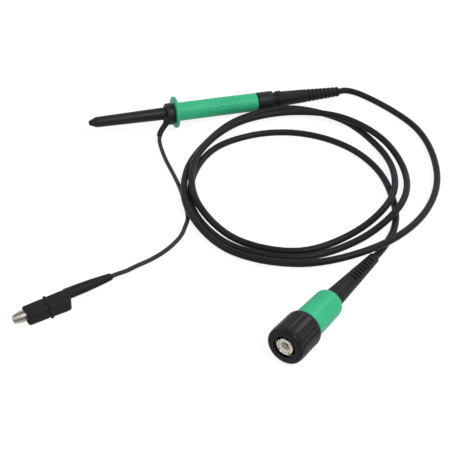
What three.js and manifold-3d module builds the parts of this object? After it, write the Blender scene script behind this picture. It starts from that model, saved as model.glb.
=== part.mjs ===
// Passive 10:1 oscilloscope probe, lying on a table: the probe head with its retractable
// hook, a loosely coiled coaxial cable that ends in a bayonet plug with a compensation
// housing, and a ground lead with a small crocodile clip.
// Millimetres, +Z up, table at z = 0. The head runs along +X from the hook to the cable,
// and the origin lies on the table under its middle.

import * as THREE from 'three';
import { mergeVertices } from 'three/addons/utils/BufferGeometryUtils.js';
import Module from 'manifold-3d';

const wasm = await Module();
wasm.setup();

// ---------------------------------------------------------------- clearances
const fit = 0.3; // between pieces that seat on each other
const slide = 0.4; // between pieces that move past each other
const overrun = 1; // how far a cut runs on past the piece
const softEdge = 0.2; // what takes the sharpness off a moulded edge
const bevelMiddle = 0.3; // where a rounded edge's middle point lies, as a share of the edge

// ---------------------------------------------------------------- cords
const cableRadius = 1.8;
const leadRadius = 1.05;
const cableFloor = 0.1; // the jacket's gap to the table

// ---------------------------------------------------------------- probe head, along its axis
const noseLength = 4.2;
const noseTipRadius = 1.3;
const noseBaseRadius = 2.95;
const noseFlats = 8;
const noseHoleLength = 2.2;
const noseBoreLength = 3.8;
const noseRoot = 0.5; // how far the nose cone runs into the round part
const sleeveLength = 40; // nose cone to collar
const sleeveTail = 3.4; // what runs on inside the ground barrel
const sleeveFrontRadius = 2.84;
const sleeveRearRadius = 3.45;
const hookTravel = 6;

const hookWireRadius = 0.22;
const hookCurlRadius = 0.36;
const hookCrank = [1, 3, 4.6]; // where the wire bends out of the middle, ahead of the core
const hookRecess = 1.15; // hook's front end behind the nose face
const hookBarb = 1.1; // how far the hook's point runs back
const hookSeat = 3.7; // length of wire held in the core
const hookHoleClearance = 0.15;

const coreNeckRadius = 1.2;
const coreRadius = 1.9;
const coreSpare = 0.8; // room in front of the core when the sleeve is drawn back
const coreFlangeWidth = 2;
const coreTailRadius = 2.4;
const coreTailLength = 4;

const springTurns = 8;
const springWireRadius = 0.2;
const springSpare = 1.3; // room left when the sleeve is drawn back

const barrelWall = 0.4;
const collarWidth = 4;
const collarWall = 1.65;
const collarOffset = 0.75; // how far the ring's outside sits toward the boss
const collarLip = 0.4;
const collarEdge = 0.7;
const collarGap = 0.6; // between collar and finger guard
const bossRadius = 1.5;
const bossReach = 7.3; // boss end from the axis, along the boss
const bossLean = 28; // degrees toward the nose
const bossDrop = 20; // degrees below level

const guardWidth = 1.7;
const guardRadius = 9;
const guardEdge = 0.8;
const gripLength = 48.2;
const gripFrontWall = 0.58;
const gripFoot = 0.6; // slope between guard and grip
const gripEdge = 0.3;
const gripWall = 1;
const gripSeatWidth = 2;
const dotColumns = 7;
const dotRows = 6;
const dotPitch = 2.65;
const dotRowAngle = 19; // degrees between rows
const dotRadius = 0.6;
const dotHeight = 0.26;
const dotRoot = 0.3; // how far a dot reaches into the grip
const dotsAt = 18.2; // first column behind the guard
const dotsTurn = 62; // degrees from level to the middle row

const boardThickness = 0.8;
const boardSideGap = 0.1;
const resistorRadius = 0.9;
const resistorLength = 6.3;
const resistorLeadRadius = 0.25;
const resistorLeadRun = 1.4;
const resistorWaist = 0.85; // its middle's radius, as a share of its ends'
const resistorAt = 5; // from the board's front edge
const capacitorLength = 4.6;
const capacitorWidth = 3.2;
const capacitorHeight = 1.9;
const capacitorAt = 17;

const capLength = 10.1;
const capProud = 0.12; // how far the cap stands out past the grip
const capSpigotLength = 5.3;
const capWall = 0.9;
const capEdge = 0.8;
const ferruleLength = 4.5;
const ferruleWall = 0.6;
const neckWidth = 2.4;
const neckRadius = 4.25;
const ringWidth = 2.6;
const ringRadius = 4.63;
const ringEdge = 0.4;
const taperLength = 16.45;
const taperFrontRadius = 4.5;
const taperRearRadius = 3.75;
const ribCount = 8;
const ribPitch = 2.55;
const ribGroove = 0.95;
const ribDepth = 0.45;
const ribSlope = 0.05; // slope of a groove's sides
const reliefEndRadius = 2.75;

// ---------------------------------------------------------------- ground relief on the lead
const leadReliefFront = 1.45;
const leadReliefRear = 1.3;
const leadReliefRun = 1.2; // straight run out of the boss

// ---------------------------------------------------------------- bayonet plug, from its mouth
const pinRadius = 0.68;
const pinRearRadius = 1;
const pinAt = 1.3;
const pinTipRadius = 0.27;
const pinTipLength = 0.7;
const pinRearAt = 15.3;
const dielectricRadius = 3.25;
const dielectricBore = 2.45; // of the recess that the pin stands in
const dielectricAt = 1.2;
const dielectricFloorAt = 6;
const dielectricEnd = 15;
const contactWall = 0.5;
const contactAt = 0.6;
const contactSlots = 4;
const contactSlotWidth = 0.5;
const contactSlotLength = 4.6;
const bodyWall = 0.6;
const shoulderRadius = 5.8;
const shoulderWidth = 0.9;
const bodyFlangeRadius = 5.7;
const bodyFlangeWidth = 1.2;
const gasketWidth = 0.8;
const waveHeight = 0.5;
const waveThickness = 0.3;
const waveCount = 3;
const waveRoom = 1.4; // length that the wave washer takes up
const washerThickness = 0.4;
const nutBore = 5;
const nutNose = 6.1; // nut's front part, which holds the slots
const nutWall = 0.5;
const nutEdge = 0.3;
const nutFlangeWidth = 1.4;
const studSlotWidth = 2.3;
const studSlotDepth = 0.75;
const studSlotInner = 4.5; // radius that the slots are cut from
const studSlotEntry = 1.2; // straight part before the ramp
const studSlotRise = 2.2; // axial length of the ramp
const studSlotTurn = 90; // degrees of the ramp
const studSeatDrop = 0.35; // how far the seat falls back
const studSlots = 2;
const couplingLength = 17.2;
const couplingLip = 1.2;
const couplingLipBore = 5.6;
const couplingWall = 2.2;
const couplingRearEdge = 1.5; // length of its rounded rear
const couplingRearBore = 5.6;
const couplingPanels = 6;
const couplingGrooves = 3; // fine grooves between two smooth panels
const couplingGrooveDepth = 0.35;

const housingLength = 22;
const housingRadius = 7.6;
const housingTaper = 0.4; // how much thinner it is before its rear shoulder
const housingWall = 1.1;
const housingFrontWall = 1.2;
const housingRearWall = 2.5;
const housingEdge = 0.5;
const housingCorner = 0.6; // inside, at its rear
const housingShoulder = 3.5; // length of the rounded rear shoulder
const housingRearRadius = 6.1;
const trimmerHoleRadius = 1.6;
const trimmerRadius = 2.3;
const trimmerHeight = 4.2;
const rotorRadius = 1.25;
const rotorHeight = 2.4;
const rotorSlotWidth = 0.5;
const rotorSlotDepth = 0.6;
const trimmerAt = 27.5;
const loadResistorRadius = 0.8;
const loadResistorLength = 5;

const bootNeckRadius = 4;
const bootFlangeRadius = 5.6;
const bootFlangeWidth = 1.3;
const bootRimRadius = 5.2;
const bootRimWidth = 1.2;
const bootFrontRadius = 4.8;
const bootRearRadius = 2.72;
const bootLength = 42.2;
const bootSlots = 8;
const bootSlotPitch = 2.6;
const bootSlotWidth = 1;
const bootSlotSpan = 0.58; // share of the boot's width there
const bootSlotDepth = 0.9;
const bootSlotsAt = 17.3; // first slot behind the rim
const bootSlotsTurn = 22.5; // degrees from the top toward the near side

// ---------------------------------------------------------------- crocodile clip, from its pivot
const clipBlockFront = 10.6;
const clipBlockRear = 10.4; // on its near side
const clipRearSlant = 2.8; // how much further back the far side reaches
const clipNearSide = 4.85;
const clipNearFlare = 0.95; // how much wider the near side is at the rear
const clipFarSide = 2.95;
const clipHalfHeight = 3.5;
const clipBootWall = 0.65;
const clipRidge = 0.5; // height of the ridge round the boot
const clipRidgeWidth = 1.2;
const clipCorner = 1.3;
const clipRearEdge = 0.6; // rounding where the block meets the tail
const clipRearRun = 1.8; // length of that rounding
const clipFrontEdge = 0.4; // length of the rounding round the mouth
const clipTailLength = 22.8;
const clipTailFrontRadius = 2.7;
const clipTailRearRadius = 1.7;
const clipTailFrontOffset = 2.15;
const clipTailRearOffset = 1.45;
const jawReach = 17; // tip to pivot
const jawRear = 8.6;
const jawSheet = 0.4;
const jawHalfHeight = 1.9;
const jawDepth = 1.65;
const jawTipDepth = 0.85;
const jawTipTaper = 4;
const jawMouthGap = 0.15; // each jaw's edge from the middle plane
const jawTipLift = 0.25;
const toothStart = 0.5; // first tooth behind the tip
const toothPitch = 1.1;
const toothCount = 6;
const toothDepth = 0.45;
const leverDepth = 3.3;
const leverOverlap = 1.5; // how far the lever runs on into the moving jaw
const leverInside = 0.8; // its inner edge from the middle plane, at the front
const jawFrontEnd = 3.4; // the moving jaw's wide part ends ahead of the pivot
const earRadius = 1.2;
const clipPinRadius = 0.45;
const clipPinHeadRadius = 0.9;
const clipPinHeadHeight = 0.25;
const clipSpringRadius = 1.02;
const clipSpringWire = 0.17;
const clipSpringTurns = 2;
const clipSpringLeg = 3;
const clipSpringFill = 0.8; // share of the lever's width that its turns take
const clipSpringSpread = 0.4; // how far its far leg stands out from the turns

// ---------------------------------------------------------------- where things lie on the table
const plugEndX = 33.91;
const plugEndY = -143.31;
const plugAzimuth = 36.86; // degrees, from the mouth toward the cable
const clipX = -123.65;
const clipY = -127.88;
const clipAzimuth = 14.9; // degrees, from the jaws toward the lead

// The cable's loops, as chosen points round their middle: one every coilStep degrees.
const coilX = 21;
const coilY = -67;
const coilStart = 42;
const coilStep = 30;
const coilRadii = [
  90, 83.5, 77.3, 74.4, 75.4, 75.3, 71.7, 64.4, 57.3, 55.3, 58.5, 60.6,
  59.9, 54.7, 53.6, 55.8, 57.5, 62.6, 62.5, 58.3, 54, 52.3, 54.4, 56.4,
  56.8, 57.7, 59.6, 62, 62.3, 67, 67.1, 61, 53.4, 48.4, 42.3, 39.2,
  38.7, 41.3, 47.3, 59.1,
];
const coilHeights = [
  1.8, 2.5, 2.3, 4.6, 7.4, 5.2, 3.1, 4.6, 3.7, 1.8, 2.7, 4,
  2.1, 2, 4, 6.4, 3.7, 2, 2.6, 5.2, 6.2, 4.9, 3.9, 3.9,
  6, 5.6, 4.1, 6.6, 2.6, 1.8, 1.8, 1.8, 1.8, 1.8, 1.8, 1.8,
  1.8, 1.8, 1.8, 1.8,
];
const coilTail = [[53.1, -125.4, 2.1], [45.4, -133.9, 2.3]];
const cableRun = 5; // straight run out of the relief and into the boot

// The ground lead's free stretch
const leadReliefPoints = [[-35.3, -9.4, 6.5], [-38.5, -13.4, 5.4]];
const leadPoints = [
  [-39.8, -21.4, 3], [-40.4, -32.4, 1.6], [-40.1, -38.7, 1.15], [-39.9, -45.1, 1.15],
  [-39.9, -58.2, 1.15], [-41.1, -71.6, 1.15], [-43.1, -83.8, 1.15], [-46.2, -89.9, 1.15],
  [-49.4, -95, 1.15], [-53.1, -99, 1.15], [-60.9, -104.8, 1.15], [-69.1, -108.7, 1.15],
  [-77, -111.1, 1.15], [-82.4, -113.6, 1.8],
];

// ---------------------------------------------------------------- helpers
const radians = THREE.MathUtils.degToRad;

function finish(color, roughness, metalness) {
  return new THREE.MeshStandardMaterial({ color, roughness, metalness });
}

// Six times the signed volume: negative when the faces point inward
function windingOf(geometry) {
  const place = geometry.getAttribute('position');
  const index = geometry.getIndex().array;
  const a = new THREE.Vector3();
  const b = new THREE.Vector3();
  const c = new THREE.Vector3();
  let sum = 0;
  for (let i = 0; i < index.length; i += 3) {
    a.fromBufferAttribute(place, index[i]);
    b.fromBufferAttribute(place, index[i + 1]);
    c.fromBufferAttribute(place, index[i + 2]);
    sum += a.dot(b.cross(c));
  }
  return sum;
}

// One closed skin: shared corners merged, empty triangles dropped, faces pointing out
function closed(geometry) {
  geometry.deleteAttribute('normal');
  geometry.deleteAttribute('uv');
  const merged = mergeVertices(geometry, 1e-4);
  const kept = [];
  const index = merged.getIndex().array;
  for (let i = 0; i < index.length; i += 3) {
    const [a, b, c] = [index[i], index[i + 1], index[i + 2]];
    if (a !== b && b !== c && c !== a) kept.push(a, b, c);
  }
  merged.setIndex(kept);
  if (windingOf(merged) < 0) {
    for (let i = 0; i < kept.length; i += 3) {
      [kept[i + 1], kept[i + 2]] = [kept[i + 2], kept[i + 1]];
    }
    merged.setIndex(kept);
  }
  return merged;
}

// A body turned about the X axis from a profile of [x, radius] points
function turned(profile, sides) {
  const points = profile.map(([x, r]) => new THREE.Vector2(r, x));
  return closed(new THREE.LatheGeometry(points, sides).rotateZ(-Math.PI / 2));
}

// A ring or tube turned about the X axis: its profile closes on itself
function turnedRing(profile, sides) {
  return turned([...profile, profile[0]], sides);
}

function cylinder(from, to, radius, sides) {
  return turned([[from, 0], [from, radius], [to, radius], [to, 0]], sides);
}

function tube(from, to, bore, radius, sides) {
  return turnedRing([[from, bore], [from, radius], [to, radius], [to, bore]], sides);
}

function box(x0, x1, y0, y1, z0, z1) {
  const geometry = new THREE.BoxGeometry(x1 - x0, y1 - y0, z1 - z0);
  geometry.translate((x0 + x1) / 2, (y0 + y1) / 2, (z0 + z1) / 2);
  return closed(geometry);
}

// A body through rings of equally many points, with both ends capped or joined in a loop
function lofted(rings, looped = false) {
  const count = rings[0].length;
  const corners = rings.flat().map((p) => [p.x, p.y, p.z]);
  const faces = [];
  const spans = looped ? rings.length : rings.length - 1;
  for (let i = 0; i < spans; i++) {
    for (let j = 0; j < count; j++) {
      const a = i * count + j;
      const b = i * count + ((j + 1) % count);
      const c = ((i + 1) % rings.length) * count + j;
      const d = ((i + 1) % rings.length) * count + ((j + 1) % count);
      faces.push(a, b, c, b, d, c);
    }
  }
  if (!looped) {
    for (const [ring, turn] of [[0, 1], [rings.length - 1, -1]]) {
      const middle = new THREE.Vector3();
      rings[ring].forEach((p) => middle.addScaledVector(p, 1 / count));
      corners.push([middle.x, middle.y, middle.z]);
      for (let j = 0; j < count; j++) {
        const a = ring * count + j;
        const b = ring * count + ((j + 1) % count);
        if (turn > 0) faces.push(corners.length - 1, b, a);
        else faces.push(corners.length - 1, a, b);
      }
    }
  }
  const geometry = new THREE.BufferGeometry();
  geometry.setAttribute('position', new THREE.Float32BufferAttribute(corners.flat(), 3));
  geometry.setIndex(faces);
  return closed(geometry);
}

// A round section square to a direction, its first corner straight down or up
function roundSection(centre, direction, radius, sides) {
  const ahead = direction.clone().normalize();
  const level = Math.abs(ahead.z) < 0.95;
  const guide = level ? new THREE.Vector3(0, 0, 1) : new THREE.Vector3(1, 0, 0);
  const side = new THREE.Vector3().crossVectors(ahead, guide).normalize();
  const up = new THREE.Vector3().crossVectors(side, ahead);
  return Array.from({ length: sides }, (_, i) => {
    const angle = Math.PI / 2 + (2 * Math.PI * i) / sides;
    return centre.clone()
      .addScaledVector(side, radius * Math.cos(angle))
      .addScaledVector(up, radius * Math.sin(angle));
  });
}

// A helix of wire about the X axis
function coilSpring(from, to, meanRadius, wireRadius, turns) {
  const stepsPerTurn = 8;
  const sides = 5;
  const steps = turns * stepsPerTurn;
  const place = (t) => {
    const angle = 2 * Math.PI * turns * t;
    const x = from + (to - from) * t;
    return new THREE.Vector3(x, meanRadius * Math.cos(angle), meanRadius * Math.sin(angle));
  };
  const rings = [];
  for (let i = 0; i <= steps; i++) {
    const t = i / steps;
    const centre = place(t);
    const angle = 2 * Math.PI * turns * t;
    const outward = new THREE.Vector3(0, Math.cos(angle), Math.sin(angle));
    const ahead = place(t + 1e-4).sub(place(t - 1e-4)).normalize();
    const across = new THREE.Vector3().crossVectors(ahead, outward);
    rings.push(Array.from({ length: sides }, (_, j) => {
      const turn = (2 * Math.PI * j) / sides;
      return centre.clone()
        .addScaledVector(outward, wireRadius * Math.cos(turn))
        .addScaledVector(across, wireRadius * Math.sin(turn));
    }));
  }
  return lofted(rings);
}

// A wire of round section along a smooth curve through the points
function wire(points, radius, steps, sides) {
  const outline = Array.from({ length: sides }, (_, i) => {
    const angle = (2 * Math.PI * i) / sides;
    return new THREE.Vector2(radius * Math.cos(angle), radius * Math.sin(angle));
  });
  const extrudePath = new THREE.CatmullRomCurve3(points, false, 'centripetal');
  return closed(new THREE.ExtrudeGeometry(new THREE.Shape(outline), { steps, extrudePath }));
}

function solidOf(geometry) {
  const vertProperties = new Float32Array(geometry.getAttribute('position').array);
  const triVerts = new Uint32Array(geometry.getIndex().array);
  return new wasm.Manifold(new wasm.Mesh({ numProp: 3, vertProperties, triVerts }));
}

function geometryOf(solid) {
  const mesh = solid.getMesh();
  const geometry = new THREE.BufferGeometry();
  geometry.setAttribute('position', new THREE.BufferAttribute(mesh.vertProperties, 3));
  geometry.setIndex(new THREE.BufferAttribute(mesh.triVerts, 1));
  return geometry;
}

function join(first, ...others) {
  const sum = others.reduce((whole, part) => whole.add(solidOf(part)), solidOf(first));
  return geometryOf(sum);
}

function cut(first, ...others) {
  const rest = others.reduce((whole, part) => whole.subtract(solidOf(part)), solidOf(first));
  return geometryOf(rest);
}

const probe = new THREE.Group();

function place(parent, name, geometry, material) {
  const mesh = new THREE.Mesh(geometry, material);
  mesh.name = name;
  parent.add(mesh);
  return mesh;
}

// ---------------------------------------------------------------- finishes
const blackPlastic = [0x323137, 0.5, 0];
const blackRubber = [0x2e2d33, 0.7, 0];
const greenPlastic = [0x50b686, 0.45, 0];
const nickel = [0xc9c6c0, 0.3, 1];
const gold = [0xc9a24a, 0.3, 1];
const steel = [0xb4b4b8, 0.35, 1];
const boardGreen = [0x2f6b45, 0.6, 0];

// ---------------------------------------------------------------- probe head
// Stations along the head's axis, from the nose face
const boreStepAt = noseHoleLength + noseBoreLength;
const collarAt = noseLength + sleeveLength;
const sleeveEndAt = collarAt + sleeveTail;
const guardAt = collarAt + collarWidth + collarGap;
const gripAt = guardAt + guardWidth;
const gripEndAt = gripAt + gripLength;
const capEndAt = gripEndAt + capLength;
const ringAt = capEndAt + neckWidth;
const taperAt = ringAt + ringWidth;
const ribsAt = taperAt + taperLength;
const headLength = ribsAt + ribCount * ribPitch;

// Radii that follow from each other, from the core outward
const noseHoleRadius = hookCurlRadius + hookWireRadius + hookHoleClearance;
const noseBore = coreNeckRadius + slide;
const sleeveBore = coreRadius + slide;
const barrelBore = sleeveRearRadius + slide;
const barrelRadius = barrelBore + barrelWall;
const collarBore = barrelRadius + fit;
const collarRadius = collarBore + collarWall;
const gripRadius = collarBore + gripFrontWall;
const capRadius = gripRadius + capProud;
const chamberRadius = gripRadius - gripWall;
const coreSeatRadius = coreTailRadius + fit;
const capBore = chamberRadius - fit - capWall;

// Stations of the inner pieces
const coreAt = noseHoleLength + hookTravel + coreSpare;
const coreStepAt = boreStepAt + hookTravel + coreSpare;
const springAt = sleeveEndAt + fit + springWireRadius;
const springSolid = 2 * springWireRadius * springTurns;
const springEndAt = springAt + hookTravel + springSolid + springSpare;
const coreFlangeAt = springEndAt + springWireRadius + fit;
const barrelEndAt = coreFlangeAt + coreFlangeWidth;
const coreEndAt = barrelEndAt + coreTailLength;
const chamberAt = barrelEndAt + fit + gripSeatWidth;
const boardAt = coreEndAt + fit;
const boardEndAt = gripEndAt - capSpigotLength - fit;

// The head lies on the guard's rim and the relief's end, so its axis slopes down rearward
const guardContactAt = gripAt - guardEdge;
const headSlope = Math.atan((guardRadius - reliefEndRadius) / (headLength - guardContactAt));
const headSpan = headLength * Math.cos(headSlope);
const headLean = (reliefEndRadius - noseTipRadius) * Math.sin(headSlope);
const head = new THREE.Group();
head.position.x = -(headSpan + headLean) / 2;
head.position.z = guardContactAt * Math.sin(headSlope) + guardRadius * Math.cos(headSlope);
head.rotation.y = headSlope;
probe.add(head);

function hookSleeve() {
  const cone = turned([
    [0, 0], [0, noseTipRadius],
    [noseLength, noseBaseRadius], [noseLength + noseRoot, noseBaseRadius],
    [noseLength + noseRoot, 0],
  ], noseFlats).rotateX(Math.PI / noseFlats);
  const round = turned([
    [noseLength, 0], [noseLength, sleeveFrontRadius - softEdge / 2],
    [noseLength + softEdge, sleeveFrontRadius],
    [collarAt, sleeveRearRadius],
    [sleeveEndAt, sleeveRearRadius], [sleeveEndAt, 0],
  ], 24);
  const bore = turned([
    [-overrun, 0], [-overrun, noseHoleRadius], [noseHoleLength, noseHoleRadius],
    [noseHoleLength, noseBore], [boreStepAt, noseBore],
    [boreStepAt, sleeveBore], [sleeveEndAt + overrun, sleeveBore], [sleeveEndAt + overrun, 0],
  ], 16);
  return cut(join(round, cone), bore);
}

function hookWire() {
  const front = hookRecess + hookWireRadius + hookCurlRadius;
  const seatEnd = coreAt + hookSeat;
  const [bendStart, bendMiddle, bendEnd] = hookCrank.map((ahead) => coreAt - ahead);
  const points = [
    [seatEnd, 0], [bendStart, 0], [bendMiddle, 0.6], [bendEnd, 1],
    [front + 0.6, 1], [front, 1],
  ].map(([x, offset]) => new THREE.Vector3(x, 0, offset * hookCurlRadius));
  for (const angle of [135, 180, 225, 270]) {
    const x = front + hookCurlRadius * Math.cos(radians(angle));
    const z = hookCurlRadius * Math.sin(radians(angle));
    points.push(new THREE.Vector3(x, 0, z));
  }
  points.push(new THREE.Vector3(front + hookBarb, 0, -hookCurlRadius));
  return wire(points, hookWireRadius, 36, 6);
}

function tipCore() {
  const flangeRadius = barrelBore - slide;
  const outside = turned([
    [coreAt, 0], [coreAt, coreNeckRadius],
    [coreStepAt, coreNeckRadius], [coreStepAt, coreRadius],
    [coreFlangeAt, coreRadius], [coreFlangeAt, flangeRadius],
    [barrelEndAt, flangeRadius], [barrelEndAt, coreTailRadius],
    [coreEndAt, coreTailRadius], [coreEndAt, 0],
  ], 16);
  const socket = cylinder(coreAt - overrun, coreAt + hookSeat + fit, hookWireRadius + fit, 8);
  return cut(outside, socket);
}

function groundCollar() {
  const middle = collarAt + collarWidth / 2;
  const end = collarAt + collarWidth;
  const bevel = bevelMiddle * collarEdge;
  const ring = turned([
    [collarAt, 0], [collarAt, collarRadius - collarEdge],
    [collarAt + bevel, collarRadius - bevel], [collarAt + collarEdge, collarRadius],
    [end - collarEdge, collarRadius], [end - bevel, collarRadius - bevel],
    [end, collarRadius - collarEdge], [end, 0],
  ], 24);
  const drop = radians(bossDrop);
  ring.translate(0, -collarOffset * Math.cos(drop), -collarOffset * Math.sin(drop));
  const boss = cylinder(0, bossReach, bossRadius, 12);
  boss.applyMatrix4(bossTurn).translate(middle, 0, 0);
  const bore = turned([
    [0, 0], [0, collarBore], [collarAt, collarBore],
    [collarAt, barrelBore], [collarAt + collarLip, barrelBore],
    [collarAt + collarLip, collarBore], [end + overrun, collarBore], [end + overrun, 0],
  ], 24);
  return cut(join(ring, boss), bore);
}

// Points along the boss, from the head's axis toward the lead
const bossTurn = new THREE.Matrix4().makeRotationX(radians(bossDrop))
  .multiply(new THREE.Matrix4().makeRotationZ(-Math.PI / 2 - radians(bossLean)));

function gripShell() {
  const bevel = bevelMiddle * guardEdge;
  const outside = turned([
    [guardAt, 0], [guardAt, guardRadius - guardEdge],
    [guardAt + bevel, guardRadius - bevel], [guardAt + guardEdge, guardRadius],
    [gripAt - guardEdge, guardRadius], [gripAt - bevel, guardRadius - bevel],
    [gripAt, guardRadius - guardEdge], [gripAt, gripRadius + gripFoot],
    [gripAt + gripFoot, gripRadius],
    [gripEndAt - gripEdge, gripRadius], [gripEndAt, gripRadius - gripEdge], [gripEndAt, 0],
  ], 32);
  const inside = turned([
    [guardAt - overrun, 0], [guardAt - overrun, collarBore],
    [barrelEndAt + fit, collarBore], [barrelEndAt + fit, coreSeatRadius],
    [chamberAt, coreSeatRadius], [chamberAt, chamberRadius],
    [gripEndAt + overrun, chamberRadius], [gripEndAt + overrun, 0],
  ], 24);
  const dots = [];
  for (let column = 0; column < dotColumns; column++) {
    for (let row = 0; row < dotRows; row++) dots.push(gripDot(column, row));
  }
  return cut(join(outside, ...dots), inside);
}

function gripDot(column, row) {
  const angle = dotsTurn + (row - (dotRows - 1) / 2) * dotRowAngle;
  const x = gripAt + dotsAt + column * dotPitch;
  const dot = turned([
    [gripRadius - dotRoot, 0], [gripRadius - dotRoot, dotRadius],
    [gripRadius + dotHeight, dotRadius / 2], [gripRadius + dotHeight, 0],
  ], 6);
  dot.rotateZ(-Math.PI / 2).rotateX(-radians(angle));
  return dot.translate(x, 0, 0);
}

function resistor(length, radius, board) {
  const height = board + fit + radius;
  const lead = length / 2 + resistorLeadRun;
  const body = turned([
    [-length / 2, 0], [-length / 2, radius], [-length / 3, radius * resistorWaist],
    [length / 3, radius * resistorWaist], [length / 2, radius], [length / 2, 0],
  ], 10);
  const wires = cylinder(-lead, lead, resistorLeadRadius, 6);
  const legs = [-1, 1].map((end) => {
    const leg = cylinder(-resistorLeadRadius, height - board - fit, resistorLeadRadius, 6);
    return leg.rotateY(Math.PI / 2).translate(end * lead, 0, 0);
  });
  return join(body, wires, ...legs).translate(0, 0, height);
}

function attenuatorBoard() {
  const half = boardThickness / 2;
  const side = Math.sqrt((chamberRadius - fit) ** 2 - half ** 2) - boardSideGap;
  return box(boardAt, boardEndAt, -side, side, -half, half);
}

function rearCap() {
  const front = gripEndAt + fit;
  const spigot = chamberRadius - fit;
  const bevel = bevelMiddle * capEdge;
  return turnedRing([
    [gripEndAt - capSpigotLength, capBore], [gripEndAt - capSpigotLength, spigot],
    [front, spigot], [front, capRadius - softEdge], [front + softEdge, capRadius],
    [capEndAt - capEdge, capRadius], [capEndAt - bevel, capRadius - bevel],
    [capEndAt, capRadius - capEdge], [capEndAt, capBore],
  ], 24);
}

function strainRelief() {
  const stub = capBore - 2 * fit - ferruleWall;
  const stubAt = gripEndAt - capSpigotLength + fit;
  const plugAt = stubAt + fit + ferruleLength + fit;
  const neckAt = capEndAt + fit;
  const profile = [
    [stubAt, 0], [stubAt, stub], [plugAt, stub], [plugAt, capBore - fit],
    [neckAt, capBore - fit], [neckAt, neckRadius], [ringAt, neckRadius],
    [ringAt, ringRadius - ringEdge], [ringAt + ringEdge, ringRadius],
    [taperAt - ringEdge, ringRadius], [taperAt, ringRadius - ringEdge], [taperAt, taperFrontRadius],
    [ribsAt, taperRearRadius],
  ];
  const ribRadius = (x) => THREE.MathUtils.mapLinear(
    x, ribsAt, headLength, taperRearRadius, reliefEndRadius,
  );
  for (let rib = 0; rib < ribCount; rib++) {
    const start = ribsAt + rib * ribPitch;
    const end = start + ribGroove;
    const floor = ribRadius(start + ribGroove / 2) - ribDepth;
    profile.push([start + ribSlope, floor], [end - ribSlope, floor], [end, ribRadius(end)]);
    if (rib < ribCount - 1) profile.push([start + ribPitch, ribRadius(start + ribPitch)]);
  }
  profile.push([headLength, reliefEndRadius], [headLength, 0]);
  return turned(profile, 16);
}

place(head, 'hook_sleeve', hookSleeve(), finish(...blackPlastic));
place(head, 'hook_wire', hookWire(), finish(...gold));
place(head, 'tip_core', tipCore(), finish(...blackPlastic));
const hookSpringRadius = (coreRadius + barrelBore) / 2;
place(head, 'hook_spring', coilSpring(
  springAt, springEndAt, hookSpringRadius, springWireRadius, springTurns,
), finish(...steel));
place(head, 'ground_barrel', tube(
  collarAt + collarLip + fit, barrelEndAt, barrelBore, barrelRadius, 24,
), finish(...nickel));
place(head, 'ground_collar', groundCollar(), finish(...blackPlastic));
place(head, 'grip', gripShell(), finish(...greenPlastic));
place(head, 'attenuator_board', attenuatorBoard(), finish(...boardGreen));
const boardTop = boardThickness / 2;
place(head, 'tip_resistor', resistor(resistorLength, resistorRadius, boardTop)
  .translate(boardAt + resistorAt, 0, 0), finish(0x7fa6c4, 0.5, 0));
place(head, 'tip_capacitor', box(
  boardAt + capacitorAt, boardAt + capacitorAt + capacitorLength,
  -capacitorWidth / 2, capacitorWidth / 2,
  boardTop + fit, boardTop + fit + capacitorHeight,
), finish(0xb5793c, 0.5, 0));
place(head, 'rear_cap', rearCap(), finish(...blackPlastic));
const ferruleAt = gripEndAt - capSpigotLength + 2 * fit;
place(head, 'cable_ferrule', tube(
  ferruleAt, ferruleAt + ferruleLength, capBore - fit - ferruleWall, capBore - fit, 16,
), finish(...nickel));
place(head, 'strain_relief', strainRelief(), finish(...blackRubber));

// ---------------------------------------------------------------- bayonet plug
const contactBore = dielectricRadius + fit;
const contactRadius = contactBore + contactWall;
const bodyBore = contactRadius + fit;
const bodyRadius = bodyBore + bodyWall;
const nutNeckBore = bodyRadius + slide;
const nutChamber = shoulderRadius + fit;
const nutRadius = nutChamber + nutWall;
const couplingBore = nutRadius + fit;
const couplingRadius = couplingBore + couplingWall;

const nutAt = couplingLip + fit;
const nutChamberAt = nutAt + nutNose;
const shoulderAt = nutChamberAt + fit;
const shoulderEndAt = shoulderAt + shoulderWidth;
const waveAt = shoulderEndAt + fit;
const washerAt = waveAt + waveRoom + fit;
const nutFlangeAt = washerAt + washerThickness + fit;
const nutEndAt = nutFlangeAt + nutFlangeWidth;
const housingAt = couplingLength + fit;
const housingEndAt = housingAt + housingLength;
const bodyFlangeAt = housingAt + housingFrontWall + fit;
const bodyEndAt = bodyFlangeAt + bodyFlangeWidth;
const bootFlangeAt = housingEndAt - housingRearWall - fit - bootFlangeWidth;
const bootAt = housingEndAt + fit;
const plugLength = bootAt + bootLength;

// The plug lies on the coupling's rear ring and the start of the housing's rear shoulder
const couplingContactAt = couplingLength - couplingRearEdge;
const housingContactAt = housingEndAt - housingShoulder;
const housingContactRadius = housingRadius - housingTaper;
const housingBore = housingContactRadius - housingWall;
const plugSlope = Math.atan(
  (couplingRadius - housingContactRadius) / (housingContactAt - couplingContactAt),
);
const plug = new THREE.Group();
const plugTilt = new THREE.Group();
const plugReach = plugLength * Math.cos(plugSlope);
plug.position.x = plugEndX - plugReach * Math.cos(radians(plugAzimuth));
plug.position.y = plugEndY - plugReach * Math.sin(radians(plugAzimuth));
plug.rotation.z = radians(plugAzimuth);
plugTilt.rotation.y = plugSlope;
plugTilt.position.z = couplingContactAt * Math.sin(plugSlope)
  + couplingRadius * Math.cos(plugSlope);
plug.add(plugTilt);
probe.add(plug);

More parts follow.
